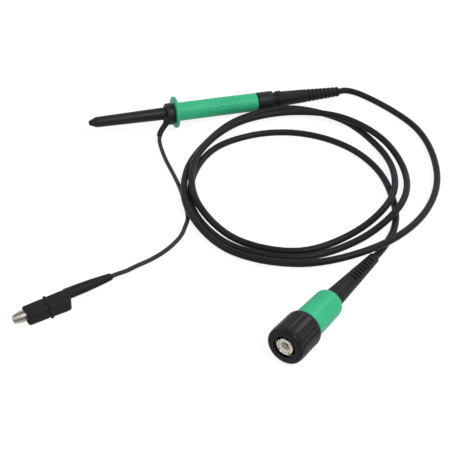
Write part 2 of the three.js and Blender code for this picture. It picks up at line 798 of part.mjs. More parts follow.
function outerContact() {
  const shell = tube(contactAt, dielectricEnd, contactBore, contactRadius, 32);
  const half = contactSlotWidth / 2;
  const slots = Array.from({ length: contactSlots / 2 }, (_, i) => {
    const slot = box(
      contactAt - overrun, contactAt + contactSlotLength,
      -contactRadius - overrun, contactRadius + overrun, -half, half,
    );
    return slot.rotateX(Math.PI / 4 + (2 * Math.PI * i) / contactSlots);
  });
  return cut(shell, ...slots);
}

function bncBody() {
  return turnedRing([
    [shoulderAt, bodyBore], [shoulderAt, shoulderRadius],
    [shoulderEndAt, shoulderRadius], [shoulderEndAt, bodyRadius],
    [bodyFlangeAt, bodyRadius], [bodyFlangeAt, bodyFlangeRadius],
    [bodyEndAt, bodyFlangeRadius], [bodyEndAt, pinRearRadius + fit],
    [dielectricEnd + fit, pinRearRadius + fit], [dielectricEnd + fit, bodyBore],
  ], 32);
}

function centrePin() {
  return turned([
    [pinAt, 0], [pinAt, pinTipRadius], [pinAt + pinTipLength, pinRadius],
    [pinRearAt, pinRadius], [pinRearAt, pinRearRadius],
    [bodyEndAt, pinRearRadius], [bodyEndAt, 0],
  ], 12);
}

function dielectric() {
  return turnedRing([
    [dielectricAt, dielectricBore], [dielectricAt, dielectricRadius],
    [dielectricEnd, dielectricRadius], [dielectricEnd, pinRadius + fit],
    [dielectricFloorAt, pinRadius + fit], [dielectricFloorAt, dielectricBore],
  ], 24);
}

// A washer bent in waves, so that it pushes its two neighbours apart
function waveWasher() {
  const bore = bodyRadius + fit;
  const middle = waveAt + waveRoom / 2;
  const steps = 36;
  const ring = (radius, side) => Array.from({ length: steps }, (_, i) => {
    const angle = (2 * Math.PI * i) / steps;
    const x = middle + waveHeight * Math.cos(waveCount * angle) + (side * waveThickness) / 2;
    return new THREE.Vector3(x, radius * Math.cos(angle), radius * Math.sin(angle));
  });
  return lofted([
    ring(bore, -1), ring(shoulderRadius, -1), ring(shoulderRadius, 1), ring(bore, 1),
  ], true);
}

// The path that a stud of the socket takes in the nut: straight in, up the ramp, into its seat
function studSlot() {
  const half = studSlotWidth / 2;
  const rampAt = nutAt + studSlotEntry + half / 2;
  const low = studSlotInner;
  const high = nutBore + studSlotDepth;
  const steps = 12;
  const section = (x, degrees) => [[-half, low], [half, low], [half, high], [-half, high]].map(
    ([along, radius]) => {
      const angle = radians(degrees);
      const y = radius * Math.cos(angle);
      return new THREE.Vector3(x + along, y, radius * Math.sin(angle));
    },
  );
  const halfTurn = THREE.MathUtils.radToDeg(half / nutBore);
  const rings = [];
  for (let i = 0; i <= steps; i++) {
    const t = i / steps;
    const seat = Math.max(0, (t - 0.8) / 0.2);
    const x = rampAt + studSlotRise * Math.min(t / 0.8, 1) - studSeatDrop * seat;
    rings.push(section(x, -halfTurn + t * (studSlotTurn + 2 * halfTurn)));
  }
  const entry = box(nutAt - overrun, rampAt + half, low, high, -half, half);
  return join(entry, lofted(rings));
}

function bayonetNut() {
  const shell = turnedRing([
    [nutAt, nutBore + nutEdge], [nutAt, nutRadius], [nutEndAt, nutRadius],
    [nutEndAt, nutNeckBore], [nutFlangeAt, nutNeckBore], [nutFlangeAt, nutChamber],
    [nutChamberAt, nutChamber], [nutChamberAt, nutBore], [nutAt + nutEdge, nutBore],
  ], 32);
  const slots = Array.from({ length: studSlots }, (_, i) => (
    studSlot().rotateX(Math.PI / 2 + (2 * Math.PI * i) / studSlots)
  ));
  return cut(shell, ...slots);
}

// Outer grip of the coupling: smooth panels with a few fine lengthwise grooves between them
function couplingGrip() {
  const stepsPerPanel = 4 * couplingGrooves;
  const steps = couplingPanels * stepsPerPanel;
  const widest = couplingRadius;
  const outside = [
    [0, widest - 1.25, 0], [0.4, widest - 0.65, 0], [1.4, widest - 0.4, 0.2],
    [4, widest - 0.25, 1], [couplingLength / 2, widest, 1], [couplingContactAt, widest, 1],
    [couplingLength - couplingRearEdge / 3, widest - 0.15, 0.3],
    [couplingLength, widest - 0.55, 0],
  ];
  const inside = [
    [couplingLength, couplingRearBore, 0], [nutEndAt + fit, couplingRearBore, 0],
    [nutEndAt + fit, couplingBore, 0], [couplingLip, couplingBore, 0],
    [couplingLip, couplingLipBore, 0], [0, couplingLipBore, 0],
  ];
  const grooved = (step) => {
    const inPanel = step % stepsPerPanel;
    return inPanel < 2 * couplingGrooves && inPanel % 2 === 1;
  };
  const ring = ([x, radius, depth]) => Array.from({ length: steps }, (_, i) => {
    const angle = (2 * Math.PI * i) / steps;
    const r = radius - (grooved(i) ? depth * couplingGrooveDepth : 0);
    return new THREE.Vector3(x, r * Math.cos(angle), r * Math.sin(angle));
  });
  return lofted([...outside, ...inside].map(ring), true);
}

function compHousing() {
  const profile = [
    [housingAt, bodyRadius + fit], [housingAt, housingRadius - housingEdge],
    [housingAt + housingEdge, housingRadius], [housingContactAt, housingContactRadius],
  ];
  const drop = housingContactRadius - housingRearRadius;
  for (const angle of [30, 60, 90]) {
    const x = housingContactAt + housingShoulder * Math.sin(radians(angle));
    profile.push([x, housingContactRadius - drop * (1 - Math.cos(radians(angle)))]);
  }
  const cavityEnd = housingEndAt - housingRearWall;
  profile.push(
    [housingEndAt, bootNeckRadius + fit], [cavityEnd, bootNeckRadius + fit],
    [cavityEnd, housingBore - housingCorner], [cavityEnd - housingCorner, housingBore],
    [housingAt + housingFrontWall, housingBore], [housingAt + housingFrontWall, bodyRadius + fit],
  );
  const hole = cylinder(0, housingRadius + overrun, trimmerHoleRadius, 12);
  return cut(turnedRing(profile, 32), hole.rotateZ(Math.PI / 2).translate(trimmerAt, 0, 0));
}

function compBoard() {
  const half = boardThickness / 2;
  const reach = Math.sqrt((housingBore - fit) ** 2 - half ** 2) - boardSideGap;
  return box(bodyEndAt + fit, bootFlangeAt - fit, -half, half, -reach, reach);
}

// The trimmer stands on the board and faces the hole in the housing
function trimmerBody() {
  const base = boardThickness / 2 + fit;
  const top = base + trimmerHeight;
  const body = cylinder(base, top, trimmerRadius, 16);
  const pocket = cylinder(top - rotorHeight - fit, top + overrun, rotorRadius + fit, 12);
  return cut(body, pocket).rotateZ(Math.PI / 2);
}

function trimmerRotor() {
  const top = boardThickness / 2 + fit + trimmerHeight;
  const rotor = cylinder(top - rotorHeight, top, rotorRadius, 12);
  const half = rotorSlotWidth / 2;
  const slot = box(
    top - rotorSlotDepth, top + overrun, -half, half, -2 * rotorRadius, 2 * rotorRadius,
  );
  return cut(rotor, slot).rotateZ(Math.PI / 2);
}

function cableBoot() {
  const rimEnd = bootAt + bootRimWidth;
  const outside = turned([
    [bootFlangeAt, 0], [bootFlangeAt, bootFlangeRadius],
    [bootFlangeAt + bootFlangeWidth, bootFlangeRadius],
    [bootFlangeAt + bootFlangeWidth, bootNeckRadius], [bootAt, bootNeckRadius],
    [bootAt, bootRimRadius - softEdge], [bootAt + softEdge, bootRimRadius],
    [rimEnd, bootRimRadius], [rimEnd + softEdge, bootFrontRadius],
    [plugLength - softEdge, bootRearRadius], [plugLength, bootRearRadius - softEdge],
    [plugLength, 0],
  ], 20);
  const half = bootSlotWidth / 2;
  const slots = [];
  for (let row = 0; row < 2 * bootSlots - 1; row++) {
    const middle = rimEnd + bootSlotsAt + (row * bootSlotPitch) / 2;
    const radius = THREE.MathUtils.mapLinear(
      middle, rimEnd, plugLength, bootFrontRadius, bootRearRadius,
    );
    const side = bootSlotSpan * radius;
    const aside = row % 2 ? 90 : 0; // every second row sits a quarter turn round
    for (const turn of [0, 180]) {
      const slot = box(
        middle - half, middle + half, -side, side, radius - bootSlotDepth, bootRimRadius + overrun,
      );
      slots.push(slot.rotateX(radians(bootSlotsTurn + turn + aside)));
    }
  }
  return cut(outside, ...slots);
}

place(plugTilt, 'coupling_grip', couplingGrip(), finish(...blackPlastic));
place(plugTilt, 'bayonet_nut', bayonetNut(), finish(...nickel));
place(plugTilt, 'outer_contact', outerContact(), finish(...nickel));
place(plugTilt, 'center_pin', centrePin(), finish(...gold));
place(plugTilt, 'dielectric', dielectric(), finish(0xd9cdb8, 0.6, 0));
place(plugTilt, 'gasket', tube(
  shoulderAt - fit - gasketWidth, shoulderAt - fit, contactRadius + fit, nutBore - fit, 24,
), finish(...blackRubber));
place(plugTilt, 'bnc_body', bncBody(), finish(...nickel));
place(plugTilt, 'wave_washer', waveWasher(), finish(...steel));
place(plugTilt, 'thrust_washer', tube(
  washerAt, washerAt + washerThickness, bodyRadius + fit, shoulderRadius, 24,
), finish(...steel));
place(plugTilt, 'comp_housing', compHousing(), finish(...greenPlastic));
place(plugTilt, 'comp_board', compBoard(), finish(...boardGreen));
place(plugTilt, 'trimmer_body', trimmerBody().translate(trimmerAt, 0, 0),
  finish(0x8a5a34, 0.5, 0));
place(plugTilt, 'trimmer_rotor', trimmerRotor().translate(trimmerAt, 0, 0), finish(...gold));
place(plugTilt, 'load_resistor', resistor(loadResistorLength, loadResistorRadius, boardTop)
  .rotateX(Math.PI / 2).translate(trimmerAt, 0, 0), finish(0x7fa6c4, 0.5, 0));
place(plugTilt, 'cable_boot', cableBoot(), finish(...blackRubber));

// ---------------------------------------------------------------- crocodile clip
// It lies on its side: the jaws open level with the table about an upright pin.
const clipHeight = clipHalfHeight + clipRidge;
const clip = new THREE.Group();
clip.position.set(clipX, clipY, clipHeight);
clip.rotation.z = radians(clipAzimuth);
probe.add(clip);

const jawInner = jawHalfHeight - jawSheet;
const leverHalfHeight = jawInner - fit;
const leverInner = leverHalfHeight - jawSheet;
const clipTailEnd = clipBlockRear + clipTailLength;
const clipPocketEnd = Math.hypot(jawRear, leverDepth) + fit; // clear of the swinging lever

// A rounded rectangle across the clip, as one ring of its boot: a slant sets its far side back
function clipSection(x, near, far, halfHeight, corner, slant = 0) {
  const radius = Math.min(corner, (far - near) / 2, halfHeight);
  const points = [];
  for (let quarter = 0; quarter < 4; quarter++) {
    const yCorner = quarter === 0 || quarter === 3 ? far - radius : near + radius;
    const zCorner = quarter < 2 ? halfHeight - radius : radius - halfHeight;
    for (const turn of [0, 30, 60, 90]) {
      const angle = radians(90 * quarter + turn);
      const y = yCorner + radius * Math.cos(angle);
      const back = (slant * (y - near)) / (far - near);
      points.push(new THREE.Vector3(x + back, y, zCorner + radius * Math.sin(angle)));
    }
  }
  return points;
}

function clipBoot() {
  const block = (x, grow, corner = clipCorner, slant = 0) => {
    const flare = (clipNearFlare * Math.max(0, x)) / clipBlockRear;
    const near = -clipNearSide - flare - grow;
    return clipSection(x, near, clipFarSide + grow, clipHalfHeight + grow, corner, slant);
  };
  const tail = (x, offset, r) => clipSection(x, offset - r, offset + r, r, r);
  const inner = clipCorner / 3;
  const ridge = clipRidgeWidth / 2;
  return lofted([
    tail(clipTailEnd, clipTailRearOffset, clipTailRearRadius),
    tail(clipBlockRear, clipTailFrontOffset, clipTailFrontRadius),
    block(clipBlockRear - clipRearEdge, -clipRearEdge, clipCorner, clipRearSlant),
    block(clipBlockRear - clipRearRun, 0, clipCorner, clipRearSlant),
    block(ridge + softEdge, 0), block(ridge, clipRidge),
    block(-ridge, clipRidge), block(-ridge - softEdge, 0),
    block(-clipBlockFront + clipFrontEdge, 0), block(-clipBlockFront, -softEdge),
    block(-clipBlockFront, -clipBootWall, inner),
    block(clipPocketEnd, -clipBootWall, inner),
  ]);
}

// Side outline of a jaw, from its serrated edge at y = 0 outward, then mirrored if asked
function jawOutline(rear, outerRear) {
  const outline = new THREE.Shape();
  const toothAt = -jawReach + toothStart;
  outline.moveTo(-jawReach, jawMouthGap + jawTipLift);
  for (let tooth = 0; tooth < toothCount; tooth++) {
    outline.lineTo(toothAt + tooth * toothPitch, jawMouthGap);
    outline.lineTo(toothAt + (tooth + 0.5) * toothPitch, jawMouthGap + toothDepth);
  }
  outline.lineTo(toothAt + toothCount * toothPitch, jawMouthGap);
  outline.lineTo(rear, jawMouthGap);
  outline.lineTo(rear, outerRear);
  outline.lineTo(-jawReach + jawTipTaper, jawDepth);
  outline.lineTo(-jawReach, jawTipDepth);
  return outline;
}

function plate(shape, halfHeight) {
  const geometry = new THREE.ExtrudeGeometry(shape, { depth: 2 * halfHeight, bevelEnabled: false });
  return closed(geometry.translate(0, 0, -halfHeight));
}

// What is taken out of a jaw's block to leave a folded channel, open toward y = 0
function jawHollow(rear, outerRear, halfHeight) {
  const taperEnd = -jawReach + jawTipTaper;
  const outline = new THREE.Shape();
  outline.moveTo(-jawReach - 1, -2);
  outline.lineTo(rear + 1, -2);
  outline.lineTo(rear + 1, outerRear - jawSheet);
  outline.lineTo(taperEnd, jawDepth - jawSheet);
  outline.lineTo(-jawReach - 1, jawTipDepth - jawSheet);
  return plate(outline, halfHeight);
}

function ear(halfHeight) {
  return cylinder(-halfHeight, halfHeight, earRadius, 16).rotateY(Math.PI / 2);
}

function pinHole() {
  return cylinder(-2 * jawHalfHeight, 2 * jawHalfHeight, clipPinRadius + fit, 12)
    .rotateY(Math.PI / 2);
}

function fixedJaw() {
  const block = join(plate(jawOutline(jawRear, jawDepth), jawHalfHeight), ear(jawHalfHeight));
  const hollow = jawHollow(jawRear, jawDepth, jawInner);
  return cut(block, hollow, pinHole());
}

function movingJaw() {
  const front = cut(
    plate(jawOutline(-jawFrontEnd, jawDepth), jawHalfHeight),
    jawHollow(-jawFrontEnd, jawDepth, jawInner),
  );
  const leverAt = -jawFrontEnd - leverOverlap;
  const lever = new THREE.Shape();
  lever.moveTo(leverAt, leverInside);
  lever.lineTo(jawRear, leverInside + leverDepth / 3);
  lever.lineTo(jawRear, leverDepth);
  lever.lineTo(leverAt, jawDepth);
  const inside = new THREE.Shape();
  inside.moveTo(leverAt - 1, -2);
  inside.lineTo(jawRear + 1, -2);
  inside.lineTo(jawRear + 1, leverDepth - jawSheet);
  inside.lineTo(leverAt, jawDepth - jawSheet);
  inside.lineTo(leverAt - 1, jawDepth - jawSheet);
  const block = join(plate(lever, leverHalfHeight), ear(leverHalfHeight));
  const rear = cut(block, plate(inside, leverInner), pinHole());
  return join(front, rear).rotateX(Math.PI);
}

function clipPin() {
  const head = jawHalfHeight + fit;
  const end = head + clipPinHeadHeight;
  return turned([
    [-end, 0], [-end, clipPinHeadRadius], [-head, clipPinHeadRadius], [-head, clipPinRadius],
    [head, clipPinRadius], [head, clipPinHeadRadius], [end, clipPinHeadRadius], [end, 0],
  ], 12).rotateY(Math.PI / 2);
}

// Torsion spring on the pin: its two legs push the levers apart
function clipSpring() {
  const rise = (leverInner - 2 * clipSpringWire) * clipSpringFill;
  const points = [new THREE.Vector3(clipSpringLeg, clipSpringRadius, -rise)];
  const steps = clipSpringTurns * 8;
  for (let i = 0; i <= steps; i++) {
    const angle = Math.PI / 2 + (2 * Math.PI * clipSpringTurns * i) / steps;
    const z = THREE.MathUtils.lerp(-rise, rise, i / steps);
    const x = clipSpringRadius * Math.cos(angle);
    points.push(new THREE.Vector3(x, clipSpringRadius * Math.sin(angle), z));
  }
  const last = points[points.length - 1];
  points.push(new THREE.Vector3(-clipSpringRadius, 0, last.z));
  points.push(new THREE.Vector3(0, -clipSpringRadius, last.z));
  points.push(new THREE.Vector3(clipSpringLeg, -clipSpringRadius - clipSpringSpread, last.z));
  return wire(points, clipSpringWire, 40, 5);
}

place(clip, 'clip_boot', clipBoot(), finish(...blackRubber));
place(clip, 'clip_fixed_jaw', fixedJaw(), finish(...nickel));
place(clip, 'clip_moving_jaw', movingJaw(), finish(...nickel));
place(clip, 'clip_pin', clipPin(), finish(...steel));
place(clip, 'clip_spring', clipSpring(), finish(...steel));

// ---------------------------------------------------------------- cords
probe.updateMatrixWorld(true);
const onHead = (x, y, z) => new THREE.Vector3(x, y, z).applyMatrix4(head.matrixWorld);
const onPlug = (x) => new THREE.Vector3(x, 0, 0).applyMatrix4(plugTilt.matrixWorld);
const onClip = (x, y) => new THREE.Vector3(x, y, 0).applyMatrix4(clip.matrixWorld);
const listed = (points) => points.map(([x, y, z]) => new THREE.Vector3(x, y, z));

// The cable leaves the relief, winds round its middle and comes into the boot
function cablePoints() {
  const points = [onHead(headLength + fit, 0, 0), onHead(headLength + fit + cableRun, 0, 0)];
  coilRadii.forEach((radius, i) => {
    const angle = radians(coilStart - i * coilStep);
    const x = coilX + radius * Math.cos(angle);
    const y = coilY + radius * Math.sin(angle);
    points.push(new THREE.Vector3(x, y, coilHeights[i] + cableFloor));
  });
  points.push(...listed(coilTail));
  points.push(onPlug(plugLength + fit + cableRun), onPlug(plugLength + fit));
  return points;
}

// One unbroken tube with two steps between points, and straight for its first and last run
function cableTube() {
  const points = cablePoints();
  const route = new THREE.CatmullRomCurve3(points, false, 'centripetal');
  const spans = points.length - 1;
  const sides = 6;
  const centres = [];
  const rings = [];
  for (let step = 0; step <= 2 * spans; step++) {
    const inEndRun = step === 1 || step === 2 * spans - 1;
    if (!inEndRun) {
      const t = step / (2 * spans);
      const centre = route.getPoint(t);
      centres.push(centre);
      rings.push(roundSection(centre, route.getTangent(t), cableRadius, sides));
    }
  }
  console.log('coax_cable least gap to itself:', leastGap(centres, cableRadius).toFixed(2), 'mm');
  return lofted(rings);
}

// Least gap of a tube to itself, on points along its straight steps
function leastGap(centres, radius) {
  const apart = 30; // points nearer than this along the tube are neighbours
  const spacing = 1.5;
  const beads = [];
  let run = 0;
  for (let i = 0; i < centres.length - 1; i++) {
    const length = centres[i].distanceTo(centres[i + 1]);
    const count = Math.ceil(length / spacing);
    for (let k = 0; k < count; k++) {
      const spot = centres[i].clone().lerp(centres[i + 1], k / count);
      beads.push([spot, run + (length * k) / count]);
    }
    run += length;
  }
  let least = Infinity;
  for (const [first, at] of beads) {
    for (const [second, other] of beads) {
      if (other - at > apart) least = Math.min(least, first.distanceTo(second));
    }
  }
  return least - 2 * radius;
}

// The soft stub that the lead leaves the collar's boss through
const alongBoss = (reach) => {
  const point = new THREE.Vector3(reach, 0, 0).applyMatrix4(bossTurn);
  return onHead(collarAt + collarWidth / 2 + point.x, point.y, point.z);
};
const reliefRoute = new THREE.CatmullRomCurve3([
  alongBoss(bossReach + fit), alongBoss(bossReach + fit + leadReliefRun),
  ...listed(leadReliefPoints),
]);

function groundRelief() {
  const steps = 6;
  return lofted(Array.from({ length: steps + 1 }, (_, i) => {
    const t = i / steps;
    const radius = THREE.MathUtils.lerp(leadReliefFront, leadReliefRear, t);
    return roundSection(reliefRoute.getPoint(t), reliefRoute.getTangent(t), radius, 10);
  }));
}

function groundLead() {
  const start = reliefRoute.getPoint(1);
  const ahead = reliefRoute.getTangent(1);
  const tail = [clipTailEnd + fit + 2 * leadRadius, clipTailEnd + fit];
  const points = [
    start.clone().addScaledVector(ahead, fit),
    start.clone().addScaledVector(ahead, fit + 2 * leadRadius),
    ...listed(leadPoints),
    ...tail.map((x) => onClip(x, clipTailRearOffset)),
  ];
  return wire(points, leadRadius, 36, 8);
}

place(probe, 'coax_cable', cableTube(), finish(...blackRubber));
place(probe, 'ground_relief', groundRelief(), finish(...blackRubber));
place(probe, 'ground_lead', groundLead(), finish(...blackRubber));

export default probe;
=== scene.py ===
# An oscilloscope probe lying on a pale table: its head with a hooked tip, its coiled coaxial
# cable, the bayonet plug at the cable's far end and the ground lead with a crocodile clip.
from math import asin, ceil, cos, hypot, pi, radians, sin

import bmesh
import bpy
from mathutils import Matrix, Vector


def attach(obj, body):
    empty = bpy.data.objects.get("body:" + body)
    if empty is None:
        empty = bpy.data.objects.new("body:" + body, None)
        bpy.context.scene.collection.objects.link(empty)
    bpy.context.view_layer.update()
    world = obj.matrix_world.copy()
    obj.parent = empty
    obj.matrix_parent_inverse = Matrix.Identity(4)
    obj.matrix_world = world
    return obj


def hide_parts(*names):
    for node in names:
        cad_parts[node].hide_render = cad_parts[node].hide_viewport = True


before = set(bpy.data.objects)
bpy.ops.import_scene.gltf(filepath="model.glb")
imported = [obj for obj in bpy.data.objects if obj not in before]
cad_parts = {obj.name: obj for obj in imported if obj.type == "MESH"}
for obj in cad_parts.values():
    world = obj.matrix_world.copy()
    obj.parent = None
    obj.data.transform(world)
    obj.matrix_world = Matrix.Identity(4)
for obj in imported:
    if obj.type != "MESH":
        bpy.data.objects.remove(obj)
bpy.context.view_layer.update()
mm = 0.001

# ------------------------------ viewpoint
# The viewer stands in front of the probe and looks down on the table at 40 degrees, through
# a long lens, so that far pieces stay nearly as large as near ones.
view_from = Vector((-152.974, -483.363, 343)) * mm
view_turn = radians(18.1238)  # to the right of straight ahead
view_down = radians(40)
view_ahead = Vector((sin(view_turn) * cos(view_down), cos(view_turn) * cos(view_down),
                     -sin(view_down)))
picture_width = 452  # pixels
lens = bpy.data.cameras.new("viewpoint")
lens.sensor_width = 36
lens.lens = 83.53
lens.shift_x = -0.5 / picture_width
lens.shift_y = 0.2 / picture_width
lens.clip_start = 0.01


def in_scene(name, data):
    """A new object in the scene."""
    made = bpy.data.objects.new(name, data)
    bpy.context.scene.collection.objects.link(made)
    return made


viewpoint = in_scene("viewpoint", lens)
viewpoint.matrix_world = (
    Matrix.Translation(view_from) @ view_ahead.to_track_quat("-Z", "Y").to_matrix().to_4x4()
)
bpy.context.scene.camera = viewpoint

# ------------------------------ coaxial cable
# A thin signal core in a woven copper screen under a soft black PVC jacket, 3.6 mm across and
# 1.28 m long. It leaves the head's relief and lies in three and a bit loose turns to the plug.
cable_radius = 1.8
cable_gap = 0.3  # between the jacket's ends and the two reliefs
cable_run = 5  # straight run at each end
coil_middle = (21, -67)
coil_start = 42
coil_step = 30  # degrees from one point to the next
coil_radii = [
    90, 83.5, 77.3, 74.4, 75.4, 75.3, 71.7, 64.4, 57.3, 55.3, 58.5, 60.6,
    59.9, 54.7, 53.6, 55.8, 57.5, 62.6, 62.5, 58.3, 54, 52.3, 54.4, 56.4,
    56.8, 57.7, 59.6, 62, 62.3, 67, 67.1, 61, 53.4, 48.4, 42.3, 39.2,
    38.7, 41.3, 47.3, 59.1,
]
coil_heights = [
    1.9, 2.6, 2.4, 4.7, 7.5, 5.3, 3.2, 4.7, 3.8, 1.9, 2.8, 4.1,
    2.2, 2.1, 4.1, 6.5, 3.8, 2.1, 2.7, 5.3, 6.3, 5, 4, 4,
    6.1, 5.7, 4.2, 6.7, 2.7, 1.9, 1.9, 1.9, 1.9, 1.9, 1.9, 1.9,
    1.9, 1.9, 1.9, 1.9,
]
coil_tail = [(53.1, -125.4, 2.1), (45.4, -133.9, 2.3)]


def placed(origin, turn, dip):
    """A group's own millimetres in the room: its X axis is turned level and then dips."""
    ahead = Vector((cos(turn) * cos(dip), sin(turn) * cos(dip), -sin(dip)))
    left = Vector((-sin(turn), cos(turn), 0))
    axes = Matrix((ahead, left, ahead.cross(left))).transposed()
    return Matrix.Translation(Vector(origin) * mm) @ axes.to_4x4() @ Matrix.Scale(mm, 4)


head = placed((-75.226, 0, 12.054), turn=0, dip=radians(3.5428))
plug = placed((-31.413, -192.285, 10.523), turn=radians(36.86), dip=radians(5.3471))
head_length = 150.65
plug_length = 82.0


def smooth_route(points, steps):
    """Points along a smooth curve through the given ones, with its knots spaced by their gaps."""
    ends = [2 * points[0] - points[1], *points, 2 * points[-1] - points[-2]]
    route = []
    for i in range(1, len(ends) - 2):
        a, b, c, d = ends[i - 1:i + 3]
        ta, tb, tc = ((b - a).length ** 0.5, (c - b).length ** 0.5, (d - c).length ** 0.5)
        leave = ((b - a) / ta - (c - a) / (ta + tb) + (c - b) / tb) * tb
        reach = ((c - b) / tb - (d - b) / (tb + tc) + (d - c) / tc) * tb
        for step in range(steps):
            t = step / steps
            route.append(
                b * (2 * t ** 3 - 3 * t ** 2 + 1) + leave * (t ** 3 - 2 * t ** 2 + t)
                + c * (3 * t ** 2 - 2 * t ** 3) + reach * (t ** 3 - t ** 2)
            )
    return [*route, points[-1]]


def cord_curve(name, route, radius):
    """A round cord with closed ends along one open line of points."""
    line = bpy.data.curves.new(name, "CURVE")
    line.dimensions = "3D"
    line.twist_mode = "MINIMUM"
    line.bevel_depth = radius
    line.bevel_resolution = 6
    line.use_fill_caps = True
    spline = line.splines.new("POLY")
    spline.points.add(len(route) - 1)
    for knot, spot in zip(spline.points, route):
        knot.co = (*spot, 1)
    spline.use_smooth = True
    return in_scene(name, line)


def added(nodes, kind, inputs=None):
    """A new shader node with some of its inputs set."""
    node = nodes.new("ShaderNode" + kind)
    for name, value in (inputs or {}).items():
        node.inputs[name].default_value = value
    return node


def finish(name, dark, light, rough, grain=(2500, 0.01), patches=90, metal=0.0, gloss=0.5):
    """A procedural material: cloudy between two colours and two roughnesses, with a fine grain.

    grain is the grain's fineness per metre and its depth in millimetres."""
    made = bpy.data.materials.new(name)
    made.use_nodes = True
    nodes, wire = made.node_tree.nodes, made.node_tree.links.new
    shader = nodes["Principled BSDF"]
    shader.inputs["Metallic"].default_value = metal
    shader.inputs["Specular IOR Level"].default_value = gloss
    where = added(nodes, "TexCoord")
    cloud = added(nodes, "TexNoise", {"Scale": patches, "Detail": 5})
    wire(where.outputs["Object"], cloud.inputs["Vector"])
    tint = added(nodes, "ValToRGB")
    for stop, reach, colour in zip(tint.color_ramp.elements, (0.35, 0.65), (dark, light)):
        stop.position = reach
        stop.color = (*colour, 1)
    wire(cloud.outputs["Fac"], tint.inputs["Fac"])
    wire(tint.outputs["Color"], shader.inputs["Base Color"])
    fine = added(nodes, "TexNoise", {"Scale": grain[0], "Detail": 3})
    wire(where.outputs["Object"], fine.inputs["Vector"])
    polish = added(nodes, "MapRange", {
        "From Min": 0.3, "From Max": 0.7, "To Min": rough[0], "To Max": rough[1]})
    wire(cloud.outputs["Fac"], polish.inputs["Value"])
    wire(polish.outputs["Result"], shader.inputs["Roughness"])
    relief = added(nodes, "Bump", {"Strength": 0.6, "Distance": grain[1] * mm})
    wire(fine.outputs["Fac"], relief.inputs["Height"])
    wire(relief.outputs["Normal"], shader.inputs["Normal"])
    return made


cable_points = [head @ Vector((head_length + cable_gap, 0, 0)),
                head @ Vector((head_length + cable_gap + cable_run, 0, 0))]
for i, (radius, height) in enumerate(zip(coil_radii, coil_heights)):
    angle = radians(coil_start - i * coil_step)
    cable_points.append(Vector((
        coil_middle[0] + radius * cos(angle), coil_middle[1] + radius * sin(angle), height,
    )) * mm)
cable_points += [Vector(spot) * mm for spot in coil_tail]
cable_points += [plug @ Vector((plug_length + cable_gap + cable_run, 0, 0)),
                 plug @ Vector((plug_length + cable_gap, 0, 0))]
cable_route = smooth_route(cable_points, steps=8)
cable = cord_curve("cable_jacket", cable_route, cable_radius * mm)
jacket = finish("cable_jacket_pvc", (0.0108, 0.0098, 0.0124), (0.0164, 0.0148, 0.0188),
                (0.34, 0.46), grain=(3200, 0.015), patches=60, gloss=0.1)
cable.data.materials.append(jacket)
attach(cable, "probe")
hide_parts("coax_cable")

# ------------------------------ ground lead
# A thin, very limp black test lead, 0.13 m long. It leaves the collar's boss through a short
# soft stub, drops to the table and runs in one loose bend to the clip.
lead_radius = 1.1
lead_gap = 0.3  # between the lead's ends and what they meet
stub_radii = (1.7, 1.5)  # at the boss and at the lead
stub_edge = 0.5  # rounding of its end
stub_start = 7.34  # from the head's axis, along the boss
stub_run = 1.2
stub_bends = [(-35.3, -9.4, 6.5), (-38.2, -13, 5.5), (-38.9, -14.9, 4.9)]
lead_bends = [
    (-40.2, -21.4, 3), (-40.4, -32.4, 1.6), (-40.1, -38.7, 1.15), (-39.9, -45.1, 1.15),
    (-39.9, -58.2, 1.15), (-41.1, -71.6, 1.15), (-43.1, -83.8, 1.15), (-46.2, -89.9, 1.15),
    (-49.4, -95, 1.15), (-53.1, -99, 1.15), (-60.9, -104.8, 1.15), (-69.1, -108.7, 1.15),
    (-77, -111.1, 1.15), (-82.4, -113.6, 1.8),
]
collar_middle = 46.2
boss_lean = radians(28)
boss_drop = radians(20)
clip = placed((-123.65, -127.88, 4), turn=radians(14.9), dip=0)
clip_tail_end = 34.3
clip_tail_offset = 1.45  # of the tail's middle there, to the far side


def along_boss(reach):
    """A point on the boss's own line, in the head's frame."""
    out = cos(boss_lean)
    return Vector((collar_middle - reach * sin(boss_lean),
                   -reach * out * cos(boss_drop), -reach * out * sin(boss_drop)))


def mesh_piece(name, corners, faces, place, sharp=35):
    """A closed piece from its corners and faces, with smooth faces between sharp edges."""
    mesh = bpy.data.meshes.new(name)
    mesh.from_pydata([tuple(corner) for corner in corners], [], faces)
    shaped = bmesh.new()
    shaped.from_mesh(mesh)
    bmesh.ops.remove_doubles(shaped, verts=shaped.verts, dist=1e-5)
    bmesh.ops.recalc_face_normals(shaped, faces=shaped.faces)
    shaped.transform(place.to_3x3().to_4x4())
    shaped.to_mesh(mesh)
    shaped.free()
    mesh.polygons.foreach_set("use_smooth", [True] * len(mesh.polygons))
    mesh.set_sharp_from_angle(angle=radians(sharp))
    piece = in_scene(name, mesh)
    piece.location = place.translation
    return piece


def lofted(name, rings, place, looped=False, sharp=35):
    """A closed piece through rings of equally many points, capped or joined end to end."""
    count = len(rings[0])
    corners = [spot for ring in rings for spot in ring]
    faces = []
    for i in range(len(rings) if looped else len(rings) - 1):
        first, second = i * count, ((i + 1) % len(rings)) * count
        for j in range(count):
            k = (j + 1) % count
            faces.append((first + j, first + k, second + k, second + j))
    if not looped:
        faces.append(tuple(range(count)))
        faces.append(tuple((len(rings) - 1) * count + j for j in range(count)))
    return mesh_piece(name, corners, faces, place, sharp)


def round_ring(middle, side, up, radius, count):
    """Points evenly round a middle, in the plane of side and up."""
    return [middle + radius * (side * cos(2 * pi * j / count) + up * sin(2 * pi * j / count))
            for j in range(count)]


def heading(route, i):
    """The direction in which a route runs at its point i."""
    return (route[min(i + 1, len(route) - 1)] - route[max(i - 1, 0)]).normalized()


